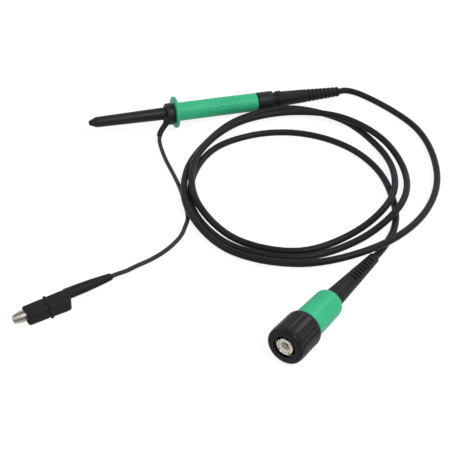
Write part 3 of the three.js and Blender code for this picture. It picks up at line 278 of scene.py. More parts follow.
def hose(name, route, radii, sides=24):
    """A round tube of changing radius along a route in metres."""
    rings = []
    for i, spot in enumerate(route):
        ahead = heading(route, i)
        side = ahead.cross(Vector((0, 0, 1))).normalized()
        rings.append(round_ring(spot / mm, side, side.cross(ahead), radii[i], sides))
    return lofted(name, rings, Matrix.Scale(mm, 4))


stub_route = smooth_route(
    [head @ along_boss(stub_start), head @ along_boss(stub_start + stub_run)]
    + [Vector(spot) * mm for spot in stub_bends], steps=10)
stub_share = [i / (len(stub_route) - 1) for i in range(len(stub_route))]
stub = hose("lead_stub", stub_route, [  # its last sixteenth is rounded off
    stub_radii[0] + (stub_radii[1] - stub_radii[0]) * share - stub_edge * max(0, 16 * share - 15)
    for share in stub_share
])
soft_black = finish("moulded_rubber", (0.0102, 0.0096, 0.0118), (0.0160, 0.0148, 0.0182),
                    (0.42, 0.56), grain=(2600, 0.03), patches=120, gloss=0.1)
stub.data.materials.append(soft_black)
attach(stub, "probe")
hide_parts("ground_relief")

stub_ahead = (stub_route[-1] - stub_route[-2]).normalized()
lead_points = [stub_route[-1] + stub_ahead * lead_gap * mm,
               stub_route[-1] + stub_ahead * (lead_gap + 2 * lead_radius) * mm]
lead_points += [Vector(spot) * mm for spot in lead_bends]
lead_points += [
    clip @ Vector((clip_tail_end + lead_gap + run, clip_tail_offset, 0))
    for run in (2 * lead_radius, 0)
]
lead_route = smooth_route(lead_points, steps=8)
lead = cord_curve("ground_wire", lead_route, lead_radius * mm)
lead_skin = finish("ground_wire_skin", (0.0310, 0.0298, 0.0316), (0.0425, 0.0408, 0.0430),
                   (0.4, 0.52), grain=(3600, 0.012), patches=90, gloss=0.12)
lead.data.materials.append(lead_skin)
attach(lead, "probe")
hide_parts("ground_lead")

# ------------------------------ sliding sleeve
# The black sleeve that hides the hook: injection moulded, eight-sided at its blunt nose and
# round behind it. It slides back along the tip core against a spring to bare the hook.
nose_length = 4.2
nose_tip = 1.3
nose_base = 3.05
tip_edge = 0.2  # length of the blunt front's rounding
tip_swell = 0.07
nose_fade = 0.6  # behind the nose, where its flats run out into the round sleeve
hook_hole = 0.73
hook_hole_rim = 0.95
hook_hole_end = 2.2
nose_bore = 1.6
nose_bore_end = 6.0
sleeve_front = 2.95
sleeve_rear = 3.57
sleeve_end = 47.6
sleeve_edge = 0.2
sleeve_bore = 2.3
collar_at = 43.9


def softened(profile, looped=False):
    """A profile's points with its corners rounded: each corner is (x, radius, rounding)."""
    points = []
    for i, (x, r, *rounding) in enumerate(profile):
        ends = not looped and i in (0, len(profile) - 1)
        here = Vector((x, r))
        if not rounding or ends:
            points.append((x, r))
            continue
        before = Vector(profile[i - 1][:2]) - here
        after = Vector(profile[(i + 1) % len(profile)][:2]) - here
        reach = min(rounding[0], 0.49 * before.length, 0.49 * after.length)
        start, end = here + before.normalized() * reach, here + after.normalized() * reach
        for step in range(6):
            t = step / 5
            points.append(tuple(start * (1 - t) ** 2 + here * 2 * t * (1 - t) + end * t * t))
    return points


def turned(name, profile, place, sides=96, looped=False, reshape=None, turns=None, sharp=35):
    """A piece turned about the X axis. reshape(x, angle, radius) may change each radius."""
    angles = turns or [2 * pi * i / sides for i in range(sides)]
    rings = []
    for x, r in (profile if reshape else softened(profile, looped)):
        ring = []
        for angle in angles:
            radius = reshape(x, angle, r) if reshape else r
            ring.append((x, radius * cos(angle), radius * sin(angle)))
        rings.append(ring)
    return lofted(name, rings, place, looped, sharp)


def flat_sided(x, angle, radius):
    """Eight flats with softened corners at the nose, fading into the round sleeve."""
    if radius <= hook_hole_rim or not 0 <= x <= nose_length + nose_fade:
        return radius
    off = (angle + pi / 8) % (pi / 4) - pi / 8
    flat = radius * cos(pi / 8) / cos(off)
    corner = radius * 0.985
    fade = min(1, max(0, (x - nose_length) / nose_fade))
    return min(flat, corner) * (1 - fade) + radius * fade


sleeve_outline = [
    (hook_hole_end, nose_bore), (hook_hole_end, hook_hole), (0.25, hook_hole), (0.06, 0.8),
    (0, hook_hole_rim), (0, nose_tip - 0.2), (0.06, nose_tip - 0.06), (tip_edge, nose_tip + 0.05),
]
for step in range(1, 8):
    share = step / 8
    sleeve_outline.append((tip_edge + (nose_length - tip_edge) * share,
                           nose_tip + tip_swell + (nose_base - nose_tip - tip_swell) * share))
sleeve_outline += [
    (nose_length - 0.1, nose_base - 0.04), (nose_length + 0.05, nose_base - 0.03),
    (nose_length + 0.25, nose_base - 0.05), (nose_length + nose_fade, sleeve_front),
    (collar_at, sleeve_rear), (sleeve_end - sleeve_edge, sleeve_rear),
    (sleeve_end, sleeve_rear - sleeve_edge), (sleeve_end, sleeve_bore),
    (nose_bore_end, sleeve_bore), (nose_bore_end, nose_bore),
]
sleeve = turned("hook_cover", sleeve_outline, head, looped=True, reshape=flat_sided, sharp=30)
hard_black = finish("satin_black_plastic", (0.0125, 0.0115, 0.0145), (0.0178, 0.0162, 0.0205),
                    (0.34, 0.44), grain=(5200, 0.012), patches=70, gloss=0.14)
sleeve.data.materials.append(hard_black)
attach(sleeve, "sleeve")
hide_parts("hook_sleeve")

# ------------------------------ hook
# Spring wire, bent to a small barbed hook and gold plated. Its straight end is pressed into
# the tip core, and it comes out of the nose when the sleeve is drawn back.
hook_wire = 0.22  # radius
hook_curl = 0.36  # radius of its bend
hook_front = 1.15
hook_bend_at = hook_front + hook_wire + hook_curl
barb_end = 2.25
core_at = 9.0
hook_seat = 3.7  # how deep it is pressed into the core
barb_point = 0.45  # share of the wire's radius that is left at the barb's end


def metal_finish(name, dark, light, rough, brush=(40, 900)):
    """Plated metal, finely scratched along its length, with faint clouding."""
    made = finish(name, dark, light, rough, grain=(4000, 0.004), patches=200, metal=1.0)
    nodes, wire = made.node_tree.nodes, made.node_tree.links.new
    where = next(node for node in nodes if node.type == "TEX_COORD")
    stretch = added(nodes, "Mapping", {"Scale": (brush[0], brush[1], brush[1])})
    scratch = added(nodes, "TexNoise", {"Scale": 6, "Detail": 4})
    wire(where.outputs["Object"], stretch.inputs["Vector"])
    wire(stretch.outputs["Vector"], scratch.inputs["Vector"])
    relief = next(node for node in nodes if node.type == "BUMP")
    wire(scratch.outputs["Fac"], relief.inputs["Height"])
    return made


hook_points = [(core_at + hook_seat, 0), (core_at - 1, 0), (core_at - 3, 0.6), (core_at - 4.6, 1),
               (hook_bend_at + 0.6, 1), (hook_bend_at, 1)]
hook_path = [Vector((x, 0, lift * hook_curl)) for x, lift in hook_points]
for angle in range(105, 271, 15):
    hook_path.append(Vector((hook_bend_at + hook_curl * cos(radians(angle)), 0,
                             hook_curl * sin(radians(angle)))))
hook_path.append(Vector((barb_end, 0, -hook_curl)))
hook_route = smooth_route(hook_path, steps=6)
hook_rings = []
for i, spot in enumerate(hook_route):
    side = Vector((0, 1, 0))
    from_barb = len(hook_route) - 1 - i
    radius = hook_wire * min(1, barb_point + 0.28 * from_barb)
    hook_rings.append(round_ring(spot, side, side.cross(heading(hook_route, i)), radius, 16))
hook = lofted("hook", hook_rings, head)
gold = metal_finish("gold_plate", (0.80, 0.60, 0.27), (0.90, 0.72, 0.38), (0.28, 0.4))
hook.data.materials.append(gold)
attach(hook, "probe")
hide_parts("hook_wire")

# ------------------------------ ground collar
# A black nylon ring moulded round the ground barrel. Its boss points forward and down to the
# left, and the ground lead is soldered and moulded in there.
collar_width = 4.5
collar_radius = 6.2
collar_offset = 0.75  # of its outside, toward the boss
collar_edge = [(0, 0.9), (0.12, 0.5), (0.3, 0.22), (0.6, 0)]  # in from the side, in from the rim
collar_bore = 4.55
collar_lip = 0.4
lip_bore = 3.85
boss_radius = 1.72
boss_outline = [(4.6, 2.5), (5.3, 2.2), (6, 1.9), (6.6, boss_radius + 0.05), (7.1, boss_radius),
                (7.3, boss_radius)]  # how far out, and the radius there


def settled(piece):
    """Makes what a piece's modifiers do part of its mesh."""
    seen = piece.evaluated_get(bpy.context.evaluated_depsgraph_get())
    skin = bpy.data.meshes.new_from_object(seen)
    piece.modifiers.clear()
    piece.data = skin
    return piece


def fused(piece, voxel, rounds):
    """Joins overlapping closed shapes in one mesh into a single moulded skin."""
    for kind, values in (
        ("REMESH", {"mode": "VOXEL", "voxel_size": voxel * mm, "use_smooth_shade": True}),
        ("SMOOTH", {"factor": 0.5, "iterations": rounds}),
    ):
        step = piece.modifiers.new(kind.lower(), kind)
        for key, value in values.items():
            setattr(step, key, value)
    return settled(piece)


def gathered(name, parts):
    """One object from several, which are used up."""
    whole = bmesh.new()
    for part in parts:
        part.data.transform(Matrix.Translation(part.location))
        whole.from_mesh(part.data)
        bpy.data.objects.remove(part)
    mesh = bpy.data.meshes.new(name)
    whole.to_mesh(mesh)
    whole.free()
    return in_scene(name, mesh)


collar_end = collar_at + collar_width
shift = Vector((0, -collar_offset * cos(boss_drop), -collar_offset * sin(boss_drop)))
collar_section = [(collar_at + back, collar_radius - down, 1) for back, down in collar_edge]
collar_section += [(collar_end - back, collar_radius - down, 1)
                   for back, down in reversed(collar_edge)]
collar_section += [(collar_end, collar_bore, 0), (collar_at + collar_lip, collar_bore, 0),
                   (collar_at + collar_lip, lip_bore, 0), (collar_at, lip_bore, 0)]
collar_rings = []
for x, r, aside in collar_section:
    collar_rings.append([
        Vector((x, r * cos(2 * pi * j / 128), r * sin(2 * pi * j / 128))) + aside * shift
        for j in range(128)
    ])
collar_ring = lofted("collar_ring", collar_rings, head, looped=True)
boss_ahead = (along_boss(1) - along_boss(0)).normalized()
boss_side = boss_ahead.cross(Vector((0, 0, 1))).normalized()
boss_up = boss_side.cross(boss_ahead)
boss_rings = [round_ring(along_boss(reach), boss_side, boss_up, radius, 40)
              for reach, radius in boss_outline]
boss = lofted("boss", boss_rings, head)
collar = fused(gathered("ground_ring", [collar_ring, boss]), voxel=0.13, rounds=4)
collar.data.materials.append(hard_black)
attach(collar, "probe")
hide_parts("ground_collar")

# ------------------------------ grip
# The green barrel that is held, moulded in one with its finger guard. A patch of small raised
# dots on the upper side gives the fingers hold.
guard_at = 48.8
guard_width = 1.7
guard_radius = 9.0
guard_edge = 1.0
grip_at = guard_at + guard_width
grip_end = 98.7
grip_radius = 5.26
grip_foot = 0.8  # rounding between the guard and the barrel
grip_edge = 0.45
grip_bore = 4.13
front_bore = 4.55
front_bore_end = 68
dots_at = grip_at + 18.2
dot_columns = 7
dot_rows = 6
dot_pitch = 2.65
dot_row_angle = radians(19)
dots_turn = radians(62)  # from level on the near side
dot_radius = 0.62
dot_height = 0.26
dots_margin = 1.2  # where the fine mesh under the dots starts, ahead of them
dot_mesh = 0.13  # from ring to ring there
dot_mesh_from = 62  # degrees round the barrel, where the fine mesh starts
dot_mesh_turns = 165
dot_mesh_turn = 0.75
plain_mesh_turn = 4


def dotted(x, angle, radius):
    """The grip's radius with its dots: low domes in straight rows."""
    beside = not dots_at - dot_radius < x < dots_at + dot_columns * dot_pitch
    if beside or radius < grip_radius - 0.01:
        return radius
    column = round((x - dots_at) / dot_pitch)
    turn = (pi - angle + pi) % (2 * pi) - pi  # from the near side upward
    row = round((turn - dots_turn) / dot_row_angle + (dot_rows - 1) / 2)
    if not (0 <= column < dot_columns and 0 <= row < dot_rows):
        return radius
    aside = (turn - dots_turn - (row - (dot_rows - 1) / 2) * dot_row_angle) * grip_radius
    off = hypot(x - dots_at - column * dot_pitch, aside) / dot_radius
    return radius + dot_height * max(0, 1 - off * off) ** 0.6


grip_profile = softened([
    (guard_at, front_bore), (guard_at, guard_radius, guard_edge), (grip_at, guard_radius, guard_edge),
    (grip_at, grip_radius, grip_foot), (dots_at - dots_margin, grip_radius)])
dots_length = dots_margin + (dot_columns - 1) * dot_pitch + dot_radius
for step in range(1, ceil(dots_length / dot_mesh) + 1):
    grip_profile.append((dots_at - dots_margin + step * dot_mesh, grip_radius))
grip_profile += softened([
    (dots_at + dot_columns * dot_pitch, grip_radius), (grip_end, grip_radius, grip_edge),
    (grip_end, grip_bore), (front_bore_end, grip_bore), (front_bore_end, front_bore)])
dotted_turns = [radians(dot_mesh_from + dot_mesh_turn * i) for i in range(dot_mesh_turns)]
plain_turns = [dotted_turns[-1] + radians(plain_mesh_turn * i) for i in range(1, 59)]
grip = turned("grip_barrel", grip_profile, head, looped=True, reshape=dotted,
              turns=dotted_turns + plain_turns)
green = finish("green_grip_plastic", (0.034, 0.455, 0.222), (0.050, 0.50, 0.254), (0.34, 0.44),
               grain=(4200, 0.010), patches=55, gloss=0.16)
grip.data.materials.append(green)
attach(grip, "probe")
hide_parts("grip")

# ------------------------------ rear cap
# A black cap with a spigot that is pressed into the grip's open end. It holds the cable's
# strain relief.
cap_end = 108.8
cap_radius = 5.35
cap_bore = 2.93
spigot_at = 93.4
spigot_radius = 3.83
seam = 0.3  # the open line round two moulded pieces that meet
cap = turned("end_cap", [
    (spigot_at, cap_bore), (spigot_at, spigot_radius, 0.2), (grip_end + seam, spigot_radius),
    (grip_end + seam, cap_radius, 0.45), (cap_end, cap_radius, 0.9), (cap_end, cap_bore),
], head, looped=True)
cap.data.materials.append(hard_black)
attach(cap, "probe")
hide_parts("rear_cap")

# ------------------------------ strain relief
# Soft black rubber moulded over the cable: a collar ring against the cap, a smooth taper and
# eight ribs that let it bend.
root_at = 99.0
root_radius = 2.63
neck_radius = 4.25
ring_at = 111.2
ring_radius = 4.85
taper_at = 113.8
taper_radii = (4.4, 3.75)
ribs_at = 130.25
rib_count = 8
rib_pitch = 2.55
rib_groove = 0.95
rib_depth = 0.5
relief_tip = 2.75


def rib_radius(x):
    return taper_radii[1] + (relief_tip - taper_radii[1]) * (x - ribs_at) / (head_length - ribs_at)


relief_profile = [
    (root_at, 0), (root_at, root_radius), (cap_end + seam, root_radius),
    (cap_end + seam, neck_radius, 0.2), (ring_at, neck_radius, 0.1), (ring_at, ring_radius, 0.5),
    (taper_at, ring_radius, 0.5), (taper_at, taper_radii[0], 0.12),
    (ribs_at - 0.15, taper_radii[1], 0.3),
]
for rib in range(rib_count):
    start = ribs_at + rib * rib_pitch
    floor = rib_radius(start + rib_groove / 2) - rib_depth
    relief_profile += [
        (start + 0.06, floor, 0.25), (start + rib_groove - 0.06, floor, 0.25),
        (start + rib_groove + 0.05, rib_radius(start + rib_groove), 0.5),
    ]
    if rib < rib_count - 1:
        relief_profile.append((start + rib_pitch - 0.05, rib_radius(start + rib_pitch), 0.5))
relief_profile += [(head_length, relief_tip, 0.5), (head_length, 0)]
relief = turned("cable_relief", relief_profile, head, sides=72)
relief.data.materials.append(soft_black)
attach(relief, "probe")
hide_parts("strain_relief")

# ------------------------------ coupling
# The plug's turning grip, moulded in black plastic round the metal nut: six smooth panels with
# fine lengthwise grooves between them. It turns a quarter turn onto the socket's studs.
coupling_length = 17.2
coupling_radius = 9.1
coupling_mouth = 5.6
nut_room = (1.2, 15.2)  # from and to, where the nut sits
nut_room_radius = 6.9
panel_angle = 2 * pi / 6
grooves = [(0.8, 0.6, 0.18), (2.4, 0.6, 0.18), (4, 0.6, 0.18), (6.4, 1.4, 0.32)]
grooves_from = 0.9
grooves_to = 16.9
coupling_mesh = 0.4  # from ring to ring, at least


def grooved(x, angle, radius):
    """Three fine grooves and a broad one beside each smooth panel, fading at the ends.

    Their middles and reaches are twelfths of a panel, and their depths millimetres."""
    if radius <= nut_room_radius:
        return radius
    inside = (angle % panel_angle) / panel_angle * 12
    cut = 0
    for middle, reach, depth in grooves:
        share = max(0, 1 - abs(inside - middle) / reach)
        cut = max(cut, depth * share * share * (3 - 2 * share))
    ends = min(1, max(0, (x - grooves_from) / 2.6), max(0, (grooves_to - x) / 0.9))
    return radius - cut * ends


coupling_outline = softened([
    (0, coupling_mouth), (0, coupling_radius - 0.75, 0.5), (0.8, coupling_radius - 0.1, 0.6),
    (3, coupling_radius + 0.15, 1.2), (8.6, coupling_radius, 3), (15.7, coupling_radius, 0.9),
    (coupling_length, coupling_radius - 0.5, 0.4), (coupling_length, coupling_mouth)])
coupling_rings = []
for before, after in zip(coupling_outline, coupling_outline[1:]):
    cuts = max(1, int(abs(after[0] - before[0]) / coupling_mesh))
    coupling_rings += [(before[0] + (after[0] - before[0]) * i / cuts,
                        before[1] + (after[1] - before[1]) * i / cuts) for i in range(cuts)]
coupling_rings += [
    (coupling_length, coupling_mouth), (nut_room[1], coupling_mouth), (nut_room[1], nut_room_radius),
    (nut_room[0], nut_room_radius), (nut_room[0], coupling_mouth),
]
coupling = turned("coupling_sleeve", coupling_rings, plug, sides=432, looped=True,
                  reshape=grooved, sharp=45)
coupling_black = finish("coupling_plastic", (0.0070, 0.0065, 0.0083), (0.0100, 0.0092, 0.0118),
                        (0.28, 0.36), grain=(5200, 0.012), patches=70, gloss=0.12)
coupling.data.materials.append(coupling_black)
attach(coupling, "coupling")
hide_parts("coupling_grip")

# ------------------------------ contacts
# Behind the mouth: a springy plated contact sleeve cut by four slots, a white PTFE insulator
# in it, and the gold pin in the middle.
contact_at = 0.3
contact_end = 15.0
contact_bore = 3.55
contact_radius = 4.05
contact_slot = 0.5  # wide
contact_slot_end = contact_at + 4.6
slot_half = asin(contact_slot / (contact_bore + contact_radius))
gold_beyond = -2.9  # on the plug's right, where one finger shows gold plate


def slotted_tube(name, rows, place):
    """A tube cut by four slots from its front. rows are (x, bore, radius, inside the slots)."""
    turns, in_slot = [], []
    for quarter in range(4):
        middle = pi / 4 + quarter * pi / 2
        turns += [middle - slot_half, middle + slot_half]
        in_slot += [True, False]
        for i in range(1, 20):
            turns.append(middle + slot_half + i * (pi / 2 - 2 * slot_half) / 20)
            in_slot.append(False)
    count = len(turns)
    corners = [(x, r * cos(a), r * sin(a)) for x, bore, out, _ in rows for r in (bore, out)
               for a in turns]

    def spot(row, side, column):
        return (2 * row + side) * count + column % count

    faces = []
    for j in range(count):
        first = next(i for i, row in enumerate(rows) if not (in_slot[j] and row[3]))
        for i in range(first, len(rows) - 1):
            for side in (0, 1):
                faces.append((spot(i, side, j), spot(i, side, j + 1),
                              spot(i + 1, side, j + 1), spot(i + 1, side, j)))
        for row in (first, len(rows) - 1):
            faces.append((spot(row, 0, j), spot(row, 0, j + 1),
                          spot(row, 1, j + 1), spot(row, 1, j)))
        if in_slot[j]:
            for i in range(first):
                for wall in (j, j + 1):
                    faces.append((spot(i, 0, wall), spot(i, 1, wall),
                                  spot(i + 1, 1, wall), spot(i + 1, 0, wall)))
    return mesh_piece(name, corners, faces, place)


contact = slotted_tube("contact_sleeve", [
    (contact_at, contact_bore + 0.12, contact_radius - 0.14, True),
    (contact_at + 0.06, contact_bore + 0.04, contact_radius - 0.05, True),
    (contact_at + 0.16, contact_bore, contact_radius, True),
    (contact_at + 1.2, contact_bore, contact_radius, True),
    (contact_slot_end, contact_bore, contact_radius, False),
    (contact_end, contact_bore, contact_radius, False),
], plug)
nickel = metal_finish("nickel_plate", (0.60, 0.58, 0.55), (0.72, 0.70, 0.67), (0.16, 0.26))
contact.data.materials.append(nickel)
contact.data.materials.append(gold)
for face in contact.data.polygons:
    spot = plug.inverted() @ (contact.location + face.center)
    if spot.x < contact_at + 0.2 and spot.y < gold_beyond:
        face.material_index = 1
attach(contact, "probe")
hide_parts("outer_contact")

insulator_at = 0.7
insulator_radius = 3.4
recess_radius = 2.3
recess_floor = 3.6
pin_hole = 0.98
insulator = turned("insulator", [
    (insulator_at, recess_radius, 0.3), (insulator_at, insulator_radius, 0.15),
    (contact_end, insulator_radius), (contact_end, pin_hole), (recess_floor, pin_hole, 0.3),
    (recess_floor, recess_radius, 0.5),
], plug, sides=72, looped=True)
ptfe = finish("insulator_ptfe", (0.74, 0.71, 0.65), (0.84, 0.82, 0.77), (0.4, 0.55),
              grain=(3000, 0.006), patches=260, gloss=0.4)
insulator.data.materials.append(ptfe)
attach(insulator, "probe")
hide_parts("dielectric")

pin_at = 0.8
pin_end = 20.5
pin_radius = 0.68
pin_foot_at = 15.3
pin_foot_radius = 1.0
pin = turned("signal_pin", [
    (pin_at, 0), (pin_at, 0.42, 0.3), (pin_at + 0.7, pin_radius, 0.3), (pin_foot_at, pin_radius),
    (pin_foot_at, pin_foot_radius), (pin_end, pin_foot_radius), (pin_end, 0),
], plug, sides=48)
pin_plate = metal_finish("pin_plating", (0.42, 0.36, 0.22), (0.56, 0.48, 0.31), (0.34, 0.46))
pin.data.materials.append(pin_plate)
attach(pin, "probe")
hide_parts("center_pin")

# ------------------------------ housing
# The green compensation housing, moulded in one piece with a rounded rear shoulder. A small
# hole on its far side lets a screwdriver reach the trimmer.
housing_at = 17.5
housing_end = 39.5
housing_radius = 7.6
housing_mouth = 4.95
housing_bore = 6.1
front_wall_end = 18.7
shoulder_at = 36.0
shoulder_radius = 7.2
shoulder_end_radius = 6.1
boot_hole = 4.3
boot_room = 5.5
boot_room_end = 37
trimmer_at = 27.5
trimmer_hole = 1.6
hole_flare = 0.9


def carved(piece, cutters):
    """Cuts shapes out of a piece; they are used up."""
    for cutter in cutters:
        step = piece.modifiers.new("cut", "BOOLEAN")
        step.object = cutter
        step.operation = "DIFFERENCE"
        step.solver = "EXACT"
    settled(piece).data.set_sharp_from_angle(angle=radians(30))
    for cutter in cutters:
        bpy.data.objects.remove(cutter)
    return piece


shoulder_length = housing_end - shoulder_at
shoulder_fall = shoulder_radius - shoulder_end_radius
rear_shoulder = [
    (shoulder_at + shoulder_length * sin(radians(angle)),
     shoulder_radius - shoulder_fall * (1 - cos(radians(angle))))
    for angle in range(10, 90, 10)
]
housing = turned("housing_shell", [
    (housing_at, housing_mouth), (housing_at, housing_radius, 0.6), (shoulder_at, shoulder_radius),
    *rear_shoulder, (housing_end, shoulder_end_radius, 0.15), (housing_end, boot_hole),
    (boot_room_end, boot_hole), (boot_room_end, boot_room),
    (boot_room_end - 0.6, housing_bore), (front_wall_end, housing_bore),
    (front_wall_end, housing_mouth),
], plug, looped=True, sides=128)
across = plug @ Matrix.Translation((trimmer_at, 0, 0)) @ Matrix.Rotation(pi / 2, 4, "Z")
screw_hole = turned("screw_hole", [
    (5, 0), (5, trimmer_hole), (7.2, trimmer_hole), (8.6, trimmer_hole + hole_flare), (8.6, 0),
], across, sides=48)
housing = carved(housing, [screw_hole])
housing.data.materials.append(green)
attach(housing, "probe")
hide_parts("comp_housing")

# ------------------------------ trimmer
# A small variable capacitor behind that hole: a brown moulded cup, and a brass screw in it
# with a slot for the screwdriver.
trimmer_foot = 0.7
trimmer_top = 4.9
cup_radius = 2.3
cup_bore = 1.55
cup_floor = 2.2
screw_radius = 1.25
screw_foot = 2.5
slot_width = 0.5
slot_floor = 4.3
cup = turned("trimmer_cup", [
    (trimmer_foot, 0), (trimmer_foot, cup_radius, 0.2), (trimmer_top, cup_radius, 0.3),
    (trimmer_top, cup_bore, 0.1), (cup_floor, cup_bore), (cup_floor, 0),
], across, sides=48)
resin = finish("trimmer_resin", (0.20, 0.08, 0.025), (0.30, 0.13, 0.05), (0.35, 0.5),
               grain=(5000, 0.01), patches=400)
cup.data.materials.append(resin)
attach(cup, "probe")
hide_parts("trimmer_body")

screw = turned("trimmer_screw", [
    (screw_foot, 0), (screw_foot, screw_radius, 0.15), (trimmer_top, screw_radius, 0.2),
    (trimmer_top, 0),
], across, sides=48)
slot_corners = [(x, y, z) for x in (slot_floor, trimmer_top + 1)
                for y in (-slot_width / 2, slot_width / 2)
                for z in (-2 * screw_radius, 2 * screw_radius)]
slot_box = mesh_piece("screw_slot", slot_corners, [
    (0, 1, 3, 2), (4, 5, 7, 6), (0, 1, 5, 4), (2, 3, 7, 6), (0, 2, 6, 4), (1, 3, 7, 5)], across)
screw = carved(screw, [slot_box])
screw.data.materials.append(gold)
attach(screw, "trimmer")
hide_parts("trimmer_rotor")

# ------------------------------ boot
# The rubber boot that keeps the cable from kinking at the plug. Its moulded slots lie in pairs
# on opposite sides, each pair a quarter turn from the one before, so that it bends every way.
flange_at = 35.4
flange_end = 36.7
boot_neck = 4
boot_at = 39.8
rim_end = 41.0
rim_radius = 5.2
boot_radii = (4.8, 2.72)  # behind the rim and at the cable
boot_slot_half = 0.6
boot_slot_depth = 1.15
boot_slots_turn = radians(67.5)  # from the near side upward
slot_reach = asin(0.5)  # half of the angle that a slot takes up
slots_from = rim_end + 17.3
slot_pitch = 1.3
slot_rows = 15


def boot_radius(x):
    return boot_radii[0] + (boot_radii[1] - boot_radii[0]) * (x - rim_end) / (plug_length - rim_end)


boot_slots = [(slots_from + row * slot_pitch, row % 2) for row in range(slot_rows)]


def slotted(x, angle, radius):
    """The boot's radius with flat-bottomed slots across it."""
    for middle, aside in boot_slots:
        if abs(x - middle) < boot_slot_half - 0.02:
            turn = pi - boot_slots_turn + aside * pi / 2
            off = (angle - turn + pi / 2) % pi - pi / 2
            if abs(off) < slot_reach - 0.004:
                floor = (boot_radius(middle) - boot_slot_depth) / cos(off)
                return min(radius, floor)
    return radius


smooth_end = slots_from - 2.3
slots_end = boot_slots[-1][0] + 2
boot_outline = softened([
    (flange_at, 0), (flange_at, rim_radius, 0.2), (flange_end, rim_radius),
    (flange_end, boot_neck, 0.1), (boot_at, boot_neck), (boot_at, rim_radius, 0.35),
    (rim_end, rim_radius, 0.35), (rim_end + 0.15, boot_radii[0]),
    (smooth_end, boot_radius(smooth_end))])
for middle, _ in boot_slots:
    for off in (-boot_slot_half, 0.03 - boot_slot_half, boot_slot_half - 0.03, boot_slot_half):
        boot_outline.append((middle + off, boot_radius(middle + off)))
boot_outline += softened([
    (slots_end, boot_radius(slots_end)), (plug_length, boot_radii[1] + 0.02, 0.5),
    (plug_length, 0)])
boot_turns = []
for quarter in range(4):
    middle = pi - boot_slots_turn + quarter * pi / 2
    marks = [-slot_reach - 0.02, -slot_reach, -slot_reach + 0.02]
    marks += [-slot_reach + 2 * slot_reach * i / 14 for i in range(1, 14)]
    marks += [slot_reach - 0.02, slot_reach, slot_reach + 0.02, pi / 4]
    boot_turns += [middle + mark for mark in marks]
boot = turned("plug_boot", boot_outline, plug, reshape=slotted, turns=boot_turns)
boot.data.materials.append(soft_black)
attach(boot, "probe")
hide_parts("cable_boot")

# ------------------------------ clip cover
# A soft black cover over the crocodile clip's body, with a ridge round its middle for the
# fingers and a round tail that grips the lead.
cover_front = 11.2
cover_rear = 10.4
near_side = 4.85
near_swell = 0.5  # how much wider the near side is at the ridge
near_flare = 0.85  # and how much more at the rear
far_side = 2.95
half_height = 3.5
rear_slant = 2.8  # how much further back the rear's far side lies
ridge_half = 0.75
ridge_height = 0.5
tail_radii = (2.75, 1.7)  # at the block and at the lead
tail_swell = 1.3
tail_start_offset = 2.15
cover_wall = 0.65
pocket_end = 9.2


def rounded_section(x, near, far, half, corner, slant=0.0):
    """A rounded rectangle across the clip; a slant sets its far side back."""
    radius = min(corner, (far - near) / 2, half)
    ring = []
    for quarter in range(4):
        y_corner = far - radius if quarter in (0, 3) else near + radius
        z_corner = half - radius if quarter < 2 else radius - half
        for step in range(9):
            angle = radians(90 * quarter + 90 * step / 8)
            y = y_corner + radius * cos(angle)
            back = slant * (y - near) / (far - near)
            ring.append((x + back, y, z_corner + radius * sin(angle)))
    return ring


def block(x, grow, corner=1.3, slant=0.0, near_in=0.0):
    flare = near_swell * min(1, (x + cover_front) / cover_front) + near_flare * max(0, x) / cover_rear
    return rounded_section(x, near_in - near_side - flare - grow, far_side + grow,
                           half_height + grow, corner, slant)


def tail(share):
    """The tail's section, from its front at 0 to the lead at 1."""
    x = cover_rear + share * (clip_tail_end - cover_rear)
    offset = tail_start_offset + (clip_tail_offset - tail_start_offset) * share
    radius = tail_radii[0] + (tail_radii[1] - tail_radii[0]) * share
    radius += tail_swell * share * (1 - share)
    return rounded_section(x, offset - radius, offset + radius, radius, radius)


tail_end_radius = tail_radii[1] - 0.25
cover_rings = [
    rounded_section(clip_tail_end, clip_tail_offset - tail_end_radius,
                    clip_tail_offset + tail_end_radius, tail_end_radius, tail_end_radius),
    tail(0.985), tail(0.96),
]
cover_rings += [tail(share / 10) for share in range(9, -1, -1)]
for turn in range(0, 91, 10):
    pulled = 1 - sin(radians(turn))
    x = cover_rear - 0.1 - 2.3 * (1 - cos(radians(turn)))
    cover_rings.append(block(x, -0.7 * pulled, 1.5, rear_slant, 1.9 * pulled))
cover_rings += [block(6, 0, slant=rear_slant * 0.6), block(3, 0, slant=rear_slant * 0.25)]
for turn in range(0, 181, 20):  # the ridge, and a small groove before it
    rise = ridge_height * sin(radians(turn)) ** 0.8
    cover_rings.append(block(ridge_half * cos(radians(turn)), rise))
cover_rings += [block(-ridge_half - 0.4, -0.25), block(-ridge_half - 0.85, 0)]
for turn in range(0, 91, 15):
    x = -cover_front + 0.7 * (1 - sin(radians(turn)))
    cover_rings.append(block(x, -0.4 * (1 - cos(radians(turn))), 1.3 + 0.5 * turn / 90))
cover_rings += [block(-cover_front + 0.15, -cover_wall, 1.2), block(pocket_end, -cover_wall, 0.5)]
cover = lofted("clip_cover", cover_rings, clip)
cover.data.materials.append(soft_black)
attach(cover, "probe")
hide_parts("clip_boot")

